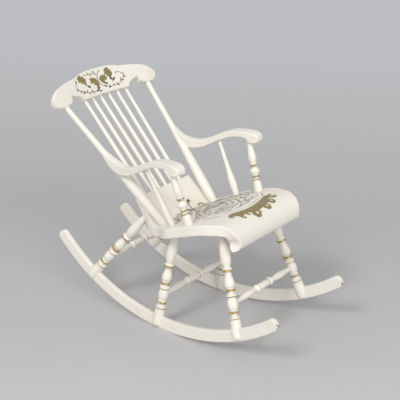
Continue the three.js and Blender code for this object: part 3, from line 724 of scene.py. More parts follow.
# %% [markdown]
# ## Sections of the arms
# The sections crowd together at the tip, where the scroll turns fastest. The left arm and the right
# one mirror each other by the sign of their side alone, so no mesh has to be flipped.

# %% Arms
SIDES = (("left", 1), ("right", -1))
for name, side in SIDES:
    sections, softness = [], []
    for k in range(ARM_STEPS + 1):
        along = ARM_TAIL * (k / ARM_STEPS) ** ARM_CROWDING
        half = eased(ARM_WIDTH, along) * ARM_HALF
        over, under = eased(ARM_OVER, along), eased(ARM_UNDER, along)
        sections.append([arm_point(side, along, -half, over), arm_point(side, along, half, over),
                         arm_point(side, along, half, under), arm_point(side, along, -half, under)])
        tip = max(0.0, 1 - along / TIP_SHARE)
        softness.append(ARM_ROUNDING + (TIP_ROUNDING - ARM_ROUNDING) * tip)
    skinned("arm_" + name, sections, softness, ALONG_DEPTH)
print("arms reach from", ARM_TIP_Y, "to", ARM_TIP_Y + ARM_REACH, "mm")

# %% [markdown]
# ## The rockers
# Each rocker is a long board sawn to one arc, rounded off at both ends and toed in a little. A bent
# box would be a polygon, so the sections are set out by their angle on the arc, and the last ones
# are made shallower for the round ends.

# %% Rocker arc
ROCKER_DEPTH, ROCKER_THICK, ROCKER_HALF_SPACING, ROCKER_TOE_IN = 47.0, 20.0, 212.0, 0.035
ROCKER_FRONT, ROCKER_REAR, ROCKER_END = -0.651, 0.772, 20.0
ROCKER_STEPS, END_STEPS, END_LEAST, ROCKER_ROUNDING = 110, 8, 0.16, 3.5


def rocker_point(side, angle, lift, across=0.0):
    """A point at an angle on the arc, lifted off the tread and across the board."""
    turn = side * math.atan(ROCKER_TOE_IN)
    radius = ARC_RADIUS - lift
    y = radius * math.sin(angle)
    return (side * ROCKER_HALF_SPACING + across * math.cos(turn) - y * math.sin(turn),
            across * math.sin(turn) + y * math.cos(turn), ARC_RADIUS - radius * math.cos(angle))


def rocker_stations():
    """Angles along the arc with the share of the full depth there, rounded off at both ends."""
    reach = ROCKER_END / (ARC_RADIUS - ROCKER_DEPTH / 2)
    ends = [(reach * math.cos(t), max(END_LEAST, math.sin(t)))
            for t in (math.pi / 2 * k / END_STEPS for k in range(END_STEPS))]
    span = ROCKER_REAR - ROCKER_FRONT
    return ([(ROCKER_FRONT - past, share) for past, share in ends]
            + [(ROCKER_FRONT + span * k / ROCKER_STEPS, 1.0) for k in range(ROCKER_STEPS + 1)]
            + [(ROCKER_REAR + past, share) for past, share in reversed(ends)])


print("rocker stations", len(rocker_stations()))

# %% [markdown]
# ## Chipped tips
# Feet and walls knock the paint off the front tips. Chips could be modelled, but they are as thin as
# the paint, so they are colour. Noise times the nearness to the tip, cut off sharply, gives chips
# that are dense at the end and stop a few centimetres behind it.

# %% Material: chipped tips
BARE_WOOD = (0.2, 0.12, 0.06, 1)
CHIPS_BEGIN, CHIPS_FULL = -0.515, -0.556
FLAKES_PER_METRE, CHIP_CUT = 75.0, (0.42, 0.47)


def chipped_material():
    made = paint_material("ivory_paint_chipped_tips", (380, 25, 380), 0.5)
    tree, shader, coat = paint_parts(made)
    place = tree.nodes.new("ShaderNodeTexCoord").outputs["Object"]
    split = tree.nodes.new("ShaderNodeSeparateXYZ")
    tree.links.new(place, split.inputs[0])
    near_tip = ranged(tree, split.outputs["Y"], (CHIPS_BEGIN, CHIPS_FULL))
    flakes = noise(tree, place, scale=FLAKES_PER_METRE, detail=4.0)
    chips = ranged(tree, product(tree, near_tip, flakes), CHIP_CUT)
    tree.links.new(mixed(tree, chips, coat.outputs["Colour"], BARE_WOOD), shader.inputs["Base Color"])
    return made


CHIPPED = chipped_material()
print("chips between", CHIPS_BEGIN, "and", CHIPS_FULL, "m")

# %% [markdown]
# ## Skin the rockers
# The board's depth is measured from the tread up, so at an end both its edges draw in towards the
# middle line.

# %% Rockers
for name, side in SIDES:
    half, sections = ROCKER_THICK / 2, []
    for angle, share in rocker_stations():
        low, high = ROCKER_DEPTH * (1 - share) / 2, ROCKER_DEPTH * (1 + share) / 2
        sections.append([rocker_point(side, angle, low, -half), rocker_point(side, angle, low, half),
                         rocker_point(side, angle, high, half), rocker_point(side, angle, high, -half)])
    skinned("rocker_" + name, sections, ROCKER_ROUNDING, CHIPPED)
print("rocker arc", round(math.degrees(ROCKER_REAR - ROCKER_FRONT)), "degrees")

# %% [markdown]
# ## Legs
# Six legs share one pattern: a long vase under the seat, a gilded ring, a swelling, a pair of rings,
# a barrel that takes the stretcher, another pair of rings and a foot forked over the rocker. One
# finished leg could be stretched to each length, but its rings would stretch too. So the part below
# the first ring is equally long on all of them, and only the vase differs.

# %% Leg profile
LEG_RADIUS, RING_LENGTH, FOOT_LIFT, LEG_SEATED = 20.0, 262.0, 7.0, 5.0
LEG_VASE = [(1, 0.62), (0.86, 0.7), (0.66, 0.84), (0.44, 0.98), (0.3, 1), (0.16, 0.88), (0.07, 0.68),
            (0.045, 0.66)]
LEG_LOWER = [(0.0, 0.98), (0.034, 0.98), (0.043, 0.64), (0.08, 0.64), (0.14, 0.84), (0.205, 0.99),
             (0.235, 0.96), (0.262, 0.72), (0.275, 0.64), (0.282, 0.92), (0.314, 0.92), (0.322, 0.62),
             (0.345, 0.62), (0.362, 1.0), (0.392, 1.0), (0.4, 0.74), (0.44, 0.94), (0.49, 1), (0.55, 0.9),
             (0.586, 0.68), (0.6, 0.92), (0.63, 0.92), (0.638, 0.62), (0.674, 0.64), (0.684, 1.0),
             (0.714, 1.0), (0.74, 0.99), (0.83, 1.06), (0.93, 1.08), (0.98, 1.02), (1, 0.86)]
LEG_GOLD = [(0.034, 0.0), (0.316, 0.28), (0.632, 0.598)]
LEG_DARK = [(0.397, 0.384), (0.718, 0.705)]
BARREL_SHARE = 0.49
SOCKETS = {"front": (155.0, -201.0, -0.425), "middle": (166.0, 1.0, 0.069), "rear": (148.0, 162.0, 0.517)}


def under_seat_at(y):
    unders = [under for _, under in RAILS[LIP_STEPS + ROLL_STEPS + 1:]]
    return min(unders, key=lambda point: abs(point[0] - y))[1]


def leg_ends(side, place):
    """The foot and the top of a leg, and the way up from one to the other."""
    x, y, angle = SOCKETS[place]
    aim = Vector(rocker_point(side, angle, ROCKER_DEPTH / 2))
    top = Vector((side * x, y, under_seat_at(y)))
    up = (top - aim).normalized()
    return aim + up * (FOOT_LIFT - ROCKER_DEPTH / 2), top, up


def leg_rows(ring):
    """The whole profile, for a first ring that stands at this share of the leg."""
    lower = [(ring * (1 - down), width) for down, width in reversed(LEG_LOWER)]
    vase = [(ring + up * (1 - ring), width) for up, width in reversed(LEG_VASE)]
    return lower + vase


def leg_bands(ring, bands):
    return [(ring * (1 - low), ring * (1 - high)) for low, high in bands]


print("leg rows", len(LEG_LOWER) + len(LEG_VASE))

# %% [markdown]
# ## Turn the legs
# Each leg aims from its socket under the seat at the middle of the rocker, and ends a little below
# it, where the fork straddles the board. Each pair has a paint of its own, because the rings lie at
# other shares of a longer leg.

# %% Legs
for place in SOCKETS:
    foot, top, _ = leg_ends(1, place)
    ring = RING_LENGTH / (top - foot).length
    gilded = banded_material("ivory_paint_gilded_leg_" + place,
                             leg_bands(ring, LEG_GOLD), leg_bands(ring, LEG_DARK))
    for name, side in SIDES:
        foot, top, _ = leg_ends(side, place)
        turned(f"leg_{place}_{name}", foot, top, LEG_RADIUS, leg_rows(ring), gilded, over=(0, LEG_SEATED))
    print("leg", place, round((top - foot).length), "mm long")

# %% [markdown]
# ## Stretchers
# A stretcher joins the barrels of each pair of legs. Its two halves mirror each other, so only one
# is drawn: a swelling, a bead, and half of the small barrel in the middle.

# %% Stretchers
STRETCHER_RADIUS, LEG_INSET, STRETCHER_SEATED = 14.5, 15.0, 6.0
STRETCHER_HALF = [(0, 0.54), (0.1, 0.7), (0.2, 0.94), (0.27, 0.88), (0.32, 0.64), (0.355, 0.58),
                  (0.365, 0.98), (0.378, 1.12), (0.395, 1.1), (0.405, 0.96), (0.415, 0.7), (0.45, 0.92)]
STRETCHER_DARK = [(0.412, 0.415), (0.585, 0.588)]
stretcher_rows = STRETCHER_HALF + [(1 - share, width) for share, width in reversed(STRETCHER_HALF)]
stretcher_paint = banded_material("ivory_paint_stretcher", [], STRETCHER_DARK)
for place in SOCKETS:
    ends = []
    for side in (-1, 1):
        foot, _, up = leg_ends(side, place)
        ends.append(foot + up * RING_LENGTH * (1 - BARREL_SHARE))
    inward = (ends[1] - ends[0]).normalized() * LEG_INSET
    turned(f"stretcher_{place}", ends[0] + inward, ends[1] - inward, STRETCHER_RADIUS, stretcher_rows,
           stretcher_paint, over=(STRETCHER_SEATED, STRETCHER_SEATED))
print("stretchers", len(SOCKETS))

# %% [markdown]
# ## Pins
# A short peg goes through each forked foot and its rocker and holds the two together. A cylinder
# would do, but the same turning gives it rounded ends and the same paint.

# %% Pins
PIN_RADIUS, PIN_LIFT, PIN_PROUD = 4.0, 20.0, 5.0
PIN_ROWS = [(0, 0.7), (0.03, 0.94), (0.08, 1), (0.92, 1), (0.97, 0.94), (1, 0.7)]
pin_half = ROCKER_THICK / 2 + PIN_PROUD
for place, (_, _, angle) in SOCKETS.items():
    for name, side in SIDES:
        ends = [Vector(rocker_point(side, angle, PIN_LIFT, across)) for across in (-pin_half, pin_half)]
        turned(f"rocker_pin_{place}_{name}", *ends, PIN_RADIUS, PIN_ROWS, plain_paint)
print("pins at", [round(math.degrees(angle)) for _, _, angle in SOCKETS.values()], "degrees on the arc")

# %% [markdown]
# ## Back posts and spindles
# Two stout posts run from the seat to the crest's ears, and six thin spindles stand between them on
# the riser and spread a little towards the crest. All of them taper to the top. They could be cones,
# but the eye sees at once that a turned post swells above its foot.

# %% Posts and spindles
POST_BASE, POST_TOP, POST_RADIUS, POST_SEATED = (160.0, 64.0), (246.0, 476.0, 824.0), 16.5, 8.0
POST_ROWS = [(0, 0.95), (0.06, 1.1), (0.16, 1.16), (0.3, 1.12), (0.45, 0.94), (0.72, 0.72), (1, 0.63)]
SPINDLES, TOP_SPACING, FOOT_SPACING = 6, 48.8, 44.0
SPINDLE_RADIUS, SPINDLE_SEATED = 8.3, 4.0
SPINDLE_ROWS = [(0, 0.8), (0.25, 1), (0.5, 1), (1, 0.78)]


def on_seat(x, y):
    return (x, y, seat_top_at(y))


for name, side in SIDES:
    base, (x, y, z) = on_seat(side * POST_BASE[0], POST_BASE[1]), POST_TOP
    turned("back_post_" + name, base, (side * x, y, z), POST_RADIUS, POST_ROWS, plain_paint,
           over=(POST_SEATED, POST_SEATED))
foot_y = SEAT_REAR + RISER_RUN + RISER_TOP / 2 * math.cos(BACK_RAKE)
foot_z = SEAT_LOW + RISER_HEIGHT - RISER_TOP / 2 * math.sin(BACK_RAKE)
top_z = CREST_FOOT - CREST_THICK / 2 * math.sin(BACK_RAKE)
for index in range(SPINDLES):
    seat_no = index - (SPINDLES - 1) / 2
    x = seat_no * TOP_SPACING
    top = (x, CREST_FRONT - crest_bow(x) + CREST_THICK / 2 * math.cos(BACK_RAKE), top_z)
    turned(f"back_spindle_{index + 1}", (seat_no * FOOT_SPACING, foot_y, foot_z), top, SPINDLE_RADIUS,
           SPINDLE_ROWS, plain_paint, over=(SPINDLE_SEATED, SPINDLE_SEATED))
print("back members", SPINDLES + len(SIDES))

# %% [markdown]
# ## Arm supports
# A turned baluster stands under each arm's scroll and repeats the legs' rings round a ball. A plain
# tapered spindle stands behind it. Both read the seat's and the arm's own tables for their ends, so
# they always meet the wood, whatever size is changed.

# %% Balusters and arm spindles
BALUSTER_RADIUS, BALUSTER_FOOT, BALUSTER_TOP = 16.5, (229.0, -110.0), (250.0, -38.0)
ARM_SPINDLE_RADIUS, ARM_SPINDLE_FOOT, ARM_SPINDLE_TOP = 13.5, (208.0, -17.0), (232.0, 92.0)
SUPPORT_SEATED, SUPPORT_IN_ARM = 5.0, 6.0
BALUSTER_ROWS = [(0, 1), (0.03, 1), (0.12, 0.96), (0.18, 0.8), (0.195, 0.86), (0.213, 0.86), (0.223, 0.62),
                 (0.244, 0.62), (0.254, 0.92), (0.286, 0.92), (0.296, 0.74), (0.33, 1.02), (0.365, 1.16),
                 (0.4, 1.02), (0.432, 0.7), (0.447, 0.62), (0.457, 0.92), (0.49, 0.92), (0.5, 0.66),
                 (0.56, 0.88), (0.62, 0.98), (0.68, 0.9), (0.82, 0.66), (1, 0.44)]
BALUSTER_GOLD = [(0.459, 0.49), (0.256, 0.286)]
BALUSTER_DARK = [(0.196, 0.21), (0.246, 0.254), (0.446, 0.456)]
BALUSTER_BAND_EDGE = 0.003
ARM_SPINDLE_ROWS = [(0, 0.85), (0.1, 1.0), (0.2, 1.1), (0.3, 1.04), (0.38, 0.85), (0.5, 0.7), (0.75, 0.57),
                    (1, 0.5)]
baluster_gilt = banded_material("ivory_paint_gilded_baluster", BALUSTER_GOLD, BALUSTER_DARK,
                                BALUSTER_BAND_EDGE)


def arm_support(name, side, foot, top, radius, rows, finish, in_arm):
    """Stand a turned piece on the seat, up to the underside of the arm."""
    turned(name, on_seat(side * foot[0], foot[1]), (side * top[0], top[1], arm_under_at(top[1])),
           radius, rows, finish, over=(SUPPORT_SEATED, in_arm))


for name, side in SIDES:
    arm_support("arm_baluster_" + name, side, BALUSTER_FOOT, BALUSTER_TOP, BALUSTER_RADIUS,
                BALUSTER_ROWS, baluster_gilt, SUPPORT_SEATED)
    arm_support("arm_spindle_" + name, side, ARM_SPINDLE_FOOT, ARM_SPINDLE_TOP, ARM_SPINDLE_RADIUS,
                ARM_SPINDLE_ROWS, plain_paint, SUPPORT_IN_ARM)
stood_at = [round(seat_top_at(y)) for _, y in (BALUSTER_FOOT, ARM_SPINDLE_FOOT)]
print("arm supports stand", stood_at, "mm up")

# %% [markdown]
# ## The painted ornament
# The crest carries a stencil of vines, spiky leaves and two seed heads, and the seat a medallion
# with a scrolled crescent at its front. An image could show them, but paint has a thickness, so each
# motif is a thin closed film. One Geometry Nodes tree fills flat outlines, splits the fill finely
# enough to bend, and thickens it.

# %% Geometry Nodes: film of paint
FILM, FILM_SUNK = 0.6, 0.35
FILM_WELD = 0.000002


def painted_film_tree():
    tree, given, out = geometry_tree("Painted film", ("Thickness", "NodeSocketFloat"),
                                     ("Fineness", "NodeSocketInt"))
    line = tree.nodes.new("GeometryNodeMeshToCurve")
    fill = tree.nodes.new("GeometryNodeFillCurve")
    fine = tree.nodes.new("GeometryNodeSubdivideMesh")
    upward = node(tree, "ShaderNodeCombineXYZ", Z=1.0)
    thick = node(tree, "GeometryNodeExtrudeMesh", Individual=False)
    under = tree.nodes.new("GeometryNodeFlipFaces")
    both = tree.nodes.new("GeometryNodeJoinGeometry")
    weld = node(tree, "GeometryNodeMergeByDistance", Distance=FILM_WELD)
    link = tree.links.new
    link(given.outputs["Geometry"], line.inputs["Mesh"])
    link(line.outputs["Curve"], fill.inputs["Curve"])
    link(fill.outputs["Mesh"], fine.inputs["Mesh"])
    link(given.outputs["Fineness"], fine.inputs["Level"])
    link(fine.outputs["Mesh"], thick.inputs["Mesh"])
    link(fine.outputs["Mesh"], under.inputs["Mesh"])
    link(upward.outputs[0], thick.inputs["Offset"])
    link(given.outputs["Thickness"], thick.inputs["Offset Scale"])
    link(thick.outputs["Mesh"], both.inputs[0])
    link(under.outputs["Mesh"], both.inputs[0])
    link(both.outputs[0], weld.inputs["Geometry"])
    end_tree(tree, given, weld.outputs["Geometry"], out)
    return tree


PAINTED_FILM = painted_film_tree()
print("tree", PAINTED_FILM.name, "inputs", list(modifier_inputs(PAINTED_FILM)))

# %% [markdown]
# ## Leaves that repeat
# The small leaves, the scrolls and the worn strokes each repeat one shape. A second tree sets that
# shape out on points that say how far it is turned and how large it is, as a painter moves one
# stencil along a vine.

# %% Geometry Nodes: set out leaves
def set_out_tree():
    tree, given, out = geometry_tree("Set out leaves", ("Leaf", "NodeSocketObject"))
    places = tree.nodes.new("GeometryNodeMeshToPoints")
    leaf = tree.nodes.new("GeometryNodeObjectInfo")
    spread = tree.nodes.new("GeometryNodeInstanceOnPoints")
    turn = node(tree, "GeometryNodeInputNamedAttribute", Name="turn")
    size = node(tree, "GeometryNodeInputNamedAttribute", Name="size")
    about = tree.nodes.new("ShaderNodeCombineXYZ")
    scale = node(tree, "ShaderNodeCombineXYZ", Z=1.0)
    link = tree.links.new
    link(given.outputs["Geometry"], places.inputs["Mesh"])
    link(given.outputs["Leaf"], leaf.inputs["Object"])
    link(places.outputs["Points"], spread.inputs["Points"])
    link(leaf.outputs["Geometry"], spread.inputs["Instance"])
    link(turn.outputs["Attribute"], about.inputs["Z"])
    link(about.outputs[0], spread.inputs["Rotation"])
    for axis in ("X", "Y"):
        link(size.outputs["Attribute"], scale.inputs[axis])
    link(scale.outputs[0], spread.inputs["Scale"])
    end_tree(tree, given, spread.outputs["Instances"], out)
    return tree


SET_OUT = set_out_tree()
print("tree", SET_OUT.name, "inputs", list(modifier_inputs(SET_OUT)))

# %% [markdown]
# ## Flat drawing tools
# Motifs are drawn as smooth closed loops through a few points. They could be Bezier curves, but
# plain points are easier to fill and to lay on the wood. A painted line is such a loop too: it runs
# down one side of a path and back along the other, and thins out at both ends.

# %% Loops and painted lines
def smooth_path(points, steps=6, closed=False):
    """A smooth line through the points, in this many steps from each to the next."""
    count = len(points)
    path = []
    for i in range(count if closed else count - 1):
        near = [i + k for k in (-1, 0, 1, 2)]
        p = [points[k % count] if closed else points[min(count - 1, max(0, k))] for k in near]
        for j in range(steps):
            t = j / steps
            path.append(tuple(0.5 * (2 * b + (c - a) * t + (2 * a - 5 * b + 4 * c - d) * t**2
                                     + (3 * b - a - 3 * c + d) * t**3) for a, b, c, d in zip(*p)))
    return path if closed else path + [points[-1]]


def painted_line(points, width, steps=6, blunt=0.25):
    """The outline of a brush stroke along the points, blunt being the share of its width at the ends."""
    path = smooth_path(points, steps)
    left, right = [], []
    for i, (x, y) in enumerate(path):
        ax, ay = path[max(0, i - 1)]
        bx, by = path[min(len(path) - 1, i + 1)]
        length = math.hypot(bx - ax, by - ay) or 1.0
        share = i / (len(path) - 1)
        half = width / 2 * (blunt + (1 - blunt) * math.sin(math.pi * share) ** 0.5)
        nx, ny = -(by - ay) / length * half, (bx - ax) / length * half
        left.append((x + nx, y + ny))
        right.append((x - nx, y - ny))
    return left + right[::-1]


print("points round a line", len(painted_line([(0, 0), (10, 0)], 2)))

# %% [markdown]
# ## From a drawing to paint on the wood
# The flat film is laid on last. A Shrinkwrap modifier would press it flat, so each of its points is
# read as a place on the wood's surface and a height above it. A little of the film sinks in, so that
# no gap shows under its edge.

# %% Lay films on a surface
FILM_SHARP_ANGLE = math.radians(30)
PROBE = 0.5


def film_mesh(name, loops):
    points, edges = [], []
    for loop in loops:
        first = len(points)
        points += [(x * MM, y * MM, 0) for x, y in loop]
        edges += [(first + k, first + (k + 1) % len(loop)) for k in range(len(loop))]
    mesh = bpy.data.meshes.new(name)
    mesh.from_pydata(points, edges, [])
    return mesh


def flat_film(name, loops, finish, fineness=1):
    return made_by_nodes(name, film_mesh(name + "_outline", loops), PAINTED_FILM,
                         {"Thickness": FILM * MM, "Fineness": fineness, "Finish": finish})


def set_out(name, leaf, places, finish):
    """Set a leaf out on places of (x, y, turn in degrees, size)."""
    mesh = bpy.data.meshes.new(name + "_places")
    mesh.from_pydata([(x * MM, y * MM, 0) for x, y, _, _ in places], [], [])
    point_values(mesh, "turn", [math.radians(turn) for _, _, turn, _ in places])
    point_values(mesh, "size", [size for _, _, _, size in places])
    return made_by_nodes(name, mesh, SET_OUT, {"Leaf": leaf, "Finish": finish})


def laid_on(piece, surface):
    """Carry a flat film onto a surface given in the drawing's millimetres."""
    for vertex in piece.data.vertices:
        u, v, lift = vertex.co / MM
        here, ahead, beside = surface(u, v), surface(u + PROBE, v), surface(u, v + PROBE)
        normal = (ahead - here).cross(beside - here).normalized()
        vertex.co = here + normal * (lift - FILM_SUNK) * MM
    outward(piece.data)
    piece.data.shade_smooth()
    piece.data.set_sharp_from_angle(angle=FILM_SHARP_ANGLE)
    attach(piece, "root")


STENCIL_SLIP, STENCIL_FLATTENING = 0.28, 0.9


def crest_surface(x, rise):
    """The stencil lay a little askew and flattened on the crest."""
    return placed(crest_face(x + rise * STENCIL_SLIP, rise * STENCIL_FLATTENING))


def seat_surface(x, y):
    """The seat's top at (x, y): over the roll, across the board or up the riser."""
    if y < ROLL_END:
        turn = math.acos(min(1.0, max(0.0, (ROLL_END - y) / (ROLL_END - SEAT_FRONT))))
        return placed((x, y, ROLL_TOP - ROLL_DROP * (1 - math.sin(turn))))
    if y <= SEAT_REAR:
        return placed((x, y, seat_top_at(y)))
    run = RISER_RUN / 4
    climb = RISER_RUN - 2 * run
    t = (math.sqrt(run * run + climb * (y - SEAT_REAR)) - run) / climb
    return placed((x, y, SEAT_LOW + RISER_HEIGHT * t * t))


print("film", FILM, "mm thick, of which", FILM_SUNK, "mm in the wood")

# %% [markdown]
# ## The ornament's paints
# The bronze has dulled to olive gold and is rubbed thin where hands and backs touched it. The vines
# are umber, the fine lines on the seat have worn to a grey brown, and one touch is rust red. Each is
# the brushed paint again, with its own colours and short strokes.

# %% Materials: bronze, umber, worn grey and rust
def ornament_material(name, paint, rubbed_to, metal):
    made = paint_material(name, (160, 160, 160), 0.9, paint)
    _, shader, coat = paint_parts(made)
    coat.inputs["Grime"].default_value = rubbed_to
    shader.inputs["Metallic"].default_value = metal
    return made


BRONZE = ornament_material("bronze_paint", (0.258, 0.202, 0.0731, 1), (0.361, 0.284, 0.146, 1), 0.15)
UMBER = ornament_material("umber_paint", (0.16, 0.12, 0.055, 1), (0.36, 0.27, 0.16, 1), 0.05)
WORN_GREY = ornament_material("worn_grey_paint", (0.13, 0.11, 0.08, 1), (0.4, 0.35, 0.27, 1), 0.0)
RUST = ornament_material("rust_paint", (0.42, 0.2, 0.06, 1), (0.5, 0.3, 0.14, 1), 0.0)
print("paints", BRONZE.name, UMBER.name, WORN_GREY.name, RUST.name)

# %% [markdown]
# ## On the crest
# A vine curls out to either side of a short stem. Two spiky leaves and two seed heads fill the
# curls, and small leaves sprout along the vines. Everything is drawn flat, in millimetres from the
# middle of the crest and up from its foot.

# %% Crest ornament
SMALL_LEAF = [(0, 0), (2.5, 2.2), (6, 3.3), (10, 1.6), (13, 0), (9.5, -1.8), (6, -2.8), (2.5, -1.9)]
SPIKY_HALF = [(0, 0.1), (0.05, 0.3), (0.16, 0.42), (0.28, 0.34), (0.34, 0.52), (0.48, 0.5),
              (0.54, 0.34), (0.68, 0.56), (0.82, 0.42), (0.8, 0.24), (1.0, 0.2), (0.92, 0.05)]


def spiky_leaf(x, y, turn, length, width):
    """A lobed leaf that grows from (x, y) along the turn."""
    whole = SPIKY_HALF + [(along, -across) for along, across in reversed(SPIKY_HALF)]
    c, s = math.cos(math.radians(turn)), math.sin(math.radians(turn))
    return [(x + length * along * c - width * across * s, y + length * along * s + width * across * c)
            for along, across in whole]


seed_left = smooth_path([(-79, 68), (-69, 66), (-62, 70), (-53, 67), (-42, 64), (-31, 54), (-25, 42),
                         (-26, 29), (-35, 21), (-44, 25), (-42, 34), (-50, 40), (-57, 38), (-54, 47),
                         (-64, 47), (-75, 51), (-70, 58)], 3, True)
seed_right = smooth_path([(-19, 58), (-11, 62), (-6, 69), (4, 66), (13, 68), (23, 60), (26, 50), (18, 46),
                          (10, 48), (13, 40), (24, 34), (20, 28), (8, 32), (-3, 38), (-12, 47)], 3, True)
crest_vines = [
    painted_line([(-153, 71), (-161, 66), (-167, 54), (-160, 43), (-146, 35), (-128, 29), (-110, 23),
                  (-90, 18), (-70, 18), (-52, 15), (-34, 13)], 2.8),
    painted_line([(-2, 83), (-8, 87), (-15, 84), (-22, 76), (-28, 66), (-28, 58), (-22, 45), (-13, 33),
                  (4, 25)], 3.4),
    painted_line([(82, 67), (92, 66), (103, 61), (113, 54), (116, 44), (106, 33), (92, 24), (74, 20),
                  (56, 19), (38, 17), (20, 22)], 2.8),
    painted_line([(-100, 86), (-86, 84), (-70, 85), (-54, 82), (-38, 83), (-28, 74)], 2.4),
    painted_line([(50, 30), (54, 38), (53, 46), (49, 52)], 2.4),
    painted_line([(-108, 52), (-96, 44), (-84, 36)], 2.4),
]
crest_leaves = [(-156, 66, 120, 1.25), (-164, 60, 60, 0.8), (-158, 42, 175, 1.0), (-140, 34, -150, 0.9),
                (-122, 27, 200, 1.2), (-112, 24, 40, 0.9), (-96, 19, -70, 0.8), (-80, 18, 70, 1.0),
                (-66, 18, -120, 0.9), (-52, 15, 10, 1.5), (-40, 20, 20, 1.4), (-34, 13, -10, 1.3),
                (-94, 86, 170, 0.8), (-76, 85, 110, 0.8), (-62, 83, -110, 0.8), (-46, 83, 60, 1.0),
                (-38, 82, -60, 0.8), (2, 26, -20, 1.3), (14, 24, 170, 1.2), (38, 18, -170, 1.3),
                (36, 17, 150, 1.0), (58, 19, 150, 0.9), (74, 20, -40, 1.0), (72, 20, 100, 0.7),
                (96, 27, 80, 1.2), (104, 32, -20, 0.9), (114, 42, 5, 1.1), (115, 50, 60, 0.8),
                (52, 40, 125, 1.9), (52, 36, 35, 1.8), (-98, 46, 130, 1.6), (-98, 44, -20, 1.8),
                (86, 67, 200, 0.9)]
crest_heads = [seed_left, seed_right, spiky_leaf(-99, 61, 153, 56, 28), spiky_leaf(56, 58, 140, 48, 32)]
leaf_pattern = flat_film("crest_leaf_pattern", [SMALL_LEAF], UMBER, 0)
laid_on(flat_film("crest_painted_heads", crest_heads, BRONZE, 2), crest_surface)
laid_on(flat_film("crest_painted_vines", crest_vines, UMBER, 0), crest_surface)
laid_on(set_out("crest_painted_leaves", leaf_pattern, crest_leaves, UMBER), crest_surface)
bpy.data.objects.remove(leaf_pattern)
print("crest leaves", len(crest_leaves))

# %% [markdown]
# ## On the seat
# A bronze crescent with scroll leaves closes the front edge of an oval medallion. It is drawn as one
# loop, and its scrolls repeat one shape, each turned outwards.

# %% Crescent and scrolls
CRESCENT_EDGE = [(-128, -212), (-119, -232), (-108, -246), (-85, -250), (-62, -254), (-24, -270),
                 (14, -266), (50, -261), (75, -254), (100, -240), (124, -226), (148, -208)]
CRESCENT_INSIDE = [(140, -196), (112, -203), (84, -211), (50, -219), (12, -225), (-32, -224), (-70, -215),
                   (-100, -207)]
SCROLL_SIZE = 30
SCROLL = [(0, -0.34), (0.3, -0.48), (0.62, -0.5), (0.9, -0.3), (1.04, 0.04), (0.98, 0.34), (0.8, 0.44),
          (0.62, 0.34), (0.7, 0.14), (0.6, 0.02), (0.44, 0.08), (0.3, 0.28), (0.12, 0.38), (0, 0.34)]
SCROLL_PLACES = [(-116, -226, -156, 0.85), (-86, -246, -130, 1.0), (-42, -262, -58, 1.2),
                 (36, -258, -47, 1.1), (86, -244, -45, 1.1), (130, -220, -33, 1.15),
                 (-104, -236, -96, 0.5), (-68, -252, -70, 0.6), (-6, -264, -100, 0.6),
                 (64, -252, -92, 0.6), (108, -234, -80, 0.6), (142, -208, 8, 0.8)]
scroll_loop = [(SCROLL_SIZE * x, SCROLL_SIZE * y) for x, y in SCROLL]
scroll_pattern = flat_film("scroll_pattern", [scroll_loop], BRONZE, 1)
crescent = smooth_path(CRESCENT_EDGE + CRESCENT_INSIDE, 3, True)
laid_on(flat_film("seat_painted_crescent", [crescent], BRONZE, 3), seat_surface)
laid_on(set_out("seat_painted_scrolls", scroll_pattern, SCROLL_PLACES, BRONZE), seat_surface)
bpy.data.objects.remove(scroll_pattern)
print("scrolls", len(SCROLL_PLACES))

# %% [markdown]
# ## The medallion's lines
# The rest of the medallion has worn down to broken lines: two rings, and a spray that spreads from
# its middle to both sides.

# %% Rings and spray
MEDALLION_X, MEDALLION_Y, MEDALLION_WIDE, MEDALLION_DEEP = 4, -74, 204, 152
INNER_RING, OUTER_RING = 0.9, 1.0
SPRAY = ((0.75, 0.2), (0.6, 0.42), (0.42, 0.62), (0.8, -0.1), (0.5, -0.35))


def oval(angle, share=1.0):
    """A point on the medallion's oval, or on a smaller or larger one like it."""
    turn = math.radians(angle)
    return (MEDALLION_X + MEDALLION_WIDE * share * math.cos(turn),
            MEDALLION_Y + MEDALLION_DEEP * share * math.sin(turn))


def ring_line(start, sweep, share, width):
    return painted_line([oval(angle, share) for angle in range(start, start + sweep, 4)], width, 2)


seat_lines = [ring_line(start, 34, INNER_RING, 1.8) for start in range(-90, 270, 40)]
seat_lines += [ring_line(start, 28, OUTER_RING, 3.6) for start in range(-52, 220, 32)]
for side in (-1, 1):
    for reach, rise in SPRAY:
        out = side * reach
        branch = [(4, -20), (4 + 60 * out, -30 + 60 * rise), (4 + 130 * out, -60 + 90 * rise),
                  (4 + 190 * out, -110 + 110 * rise)]
        seat_lines.append(painted_line(branch, 2.6, 5))
laid_on(flat_film("seat_painted_lines", seat_lines, WORN_GREY, 0), seat_surface)
print("seat lines", len(seat_lines))

# %% [markdown]
# ## Worn strokes
# Between the lines only short strokes of paint are left. They stand on ovals inside one another and
# lie mostly across the seat, with a little chance in place, turn and size from a fixed seed. None
# stands on the crescent, or under the arm where the seat is bare.

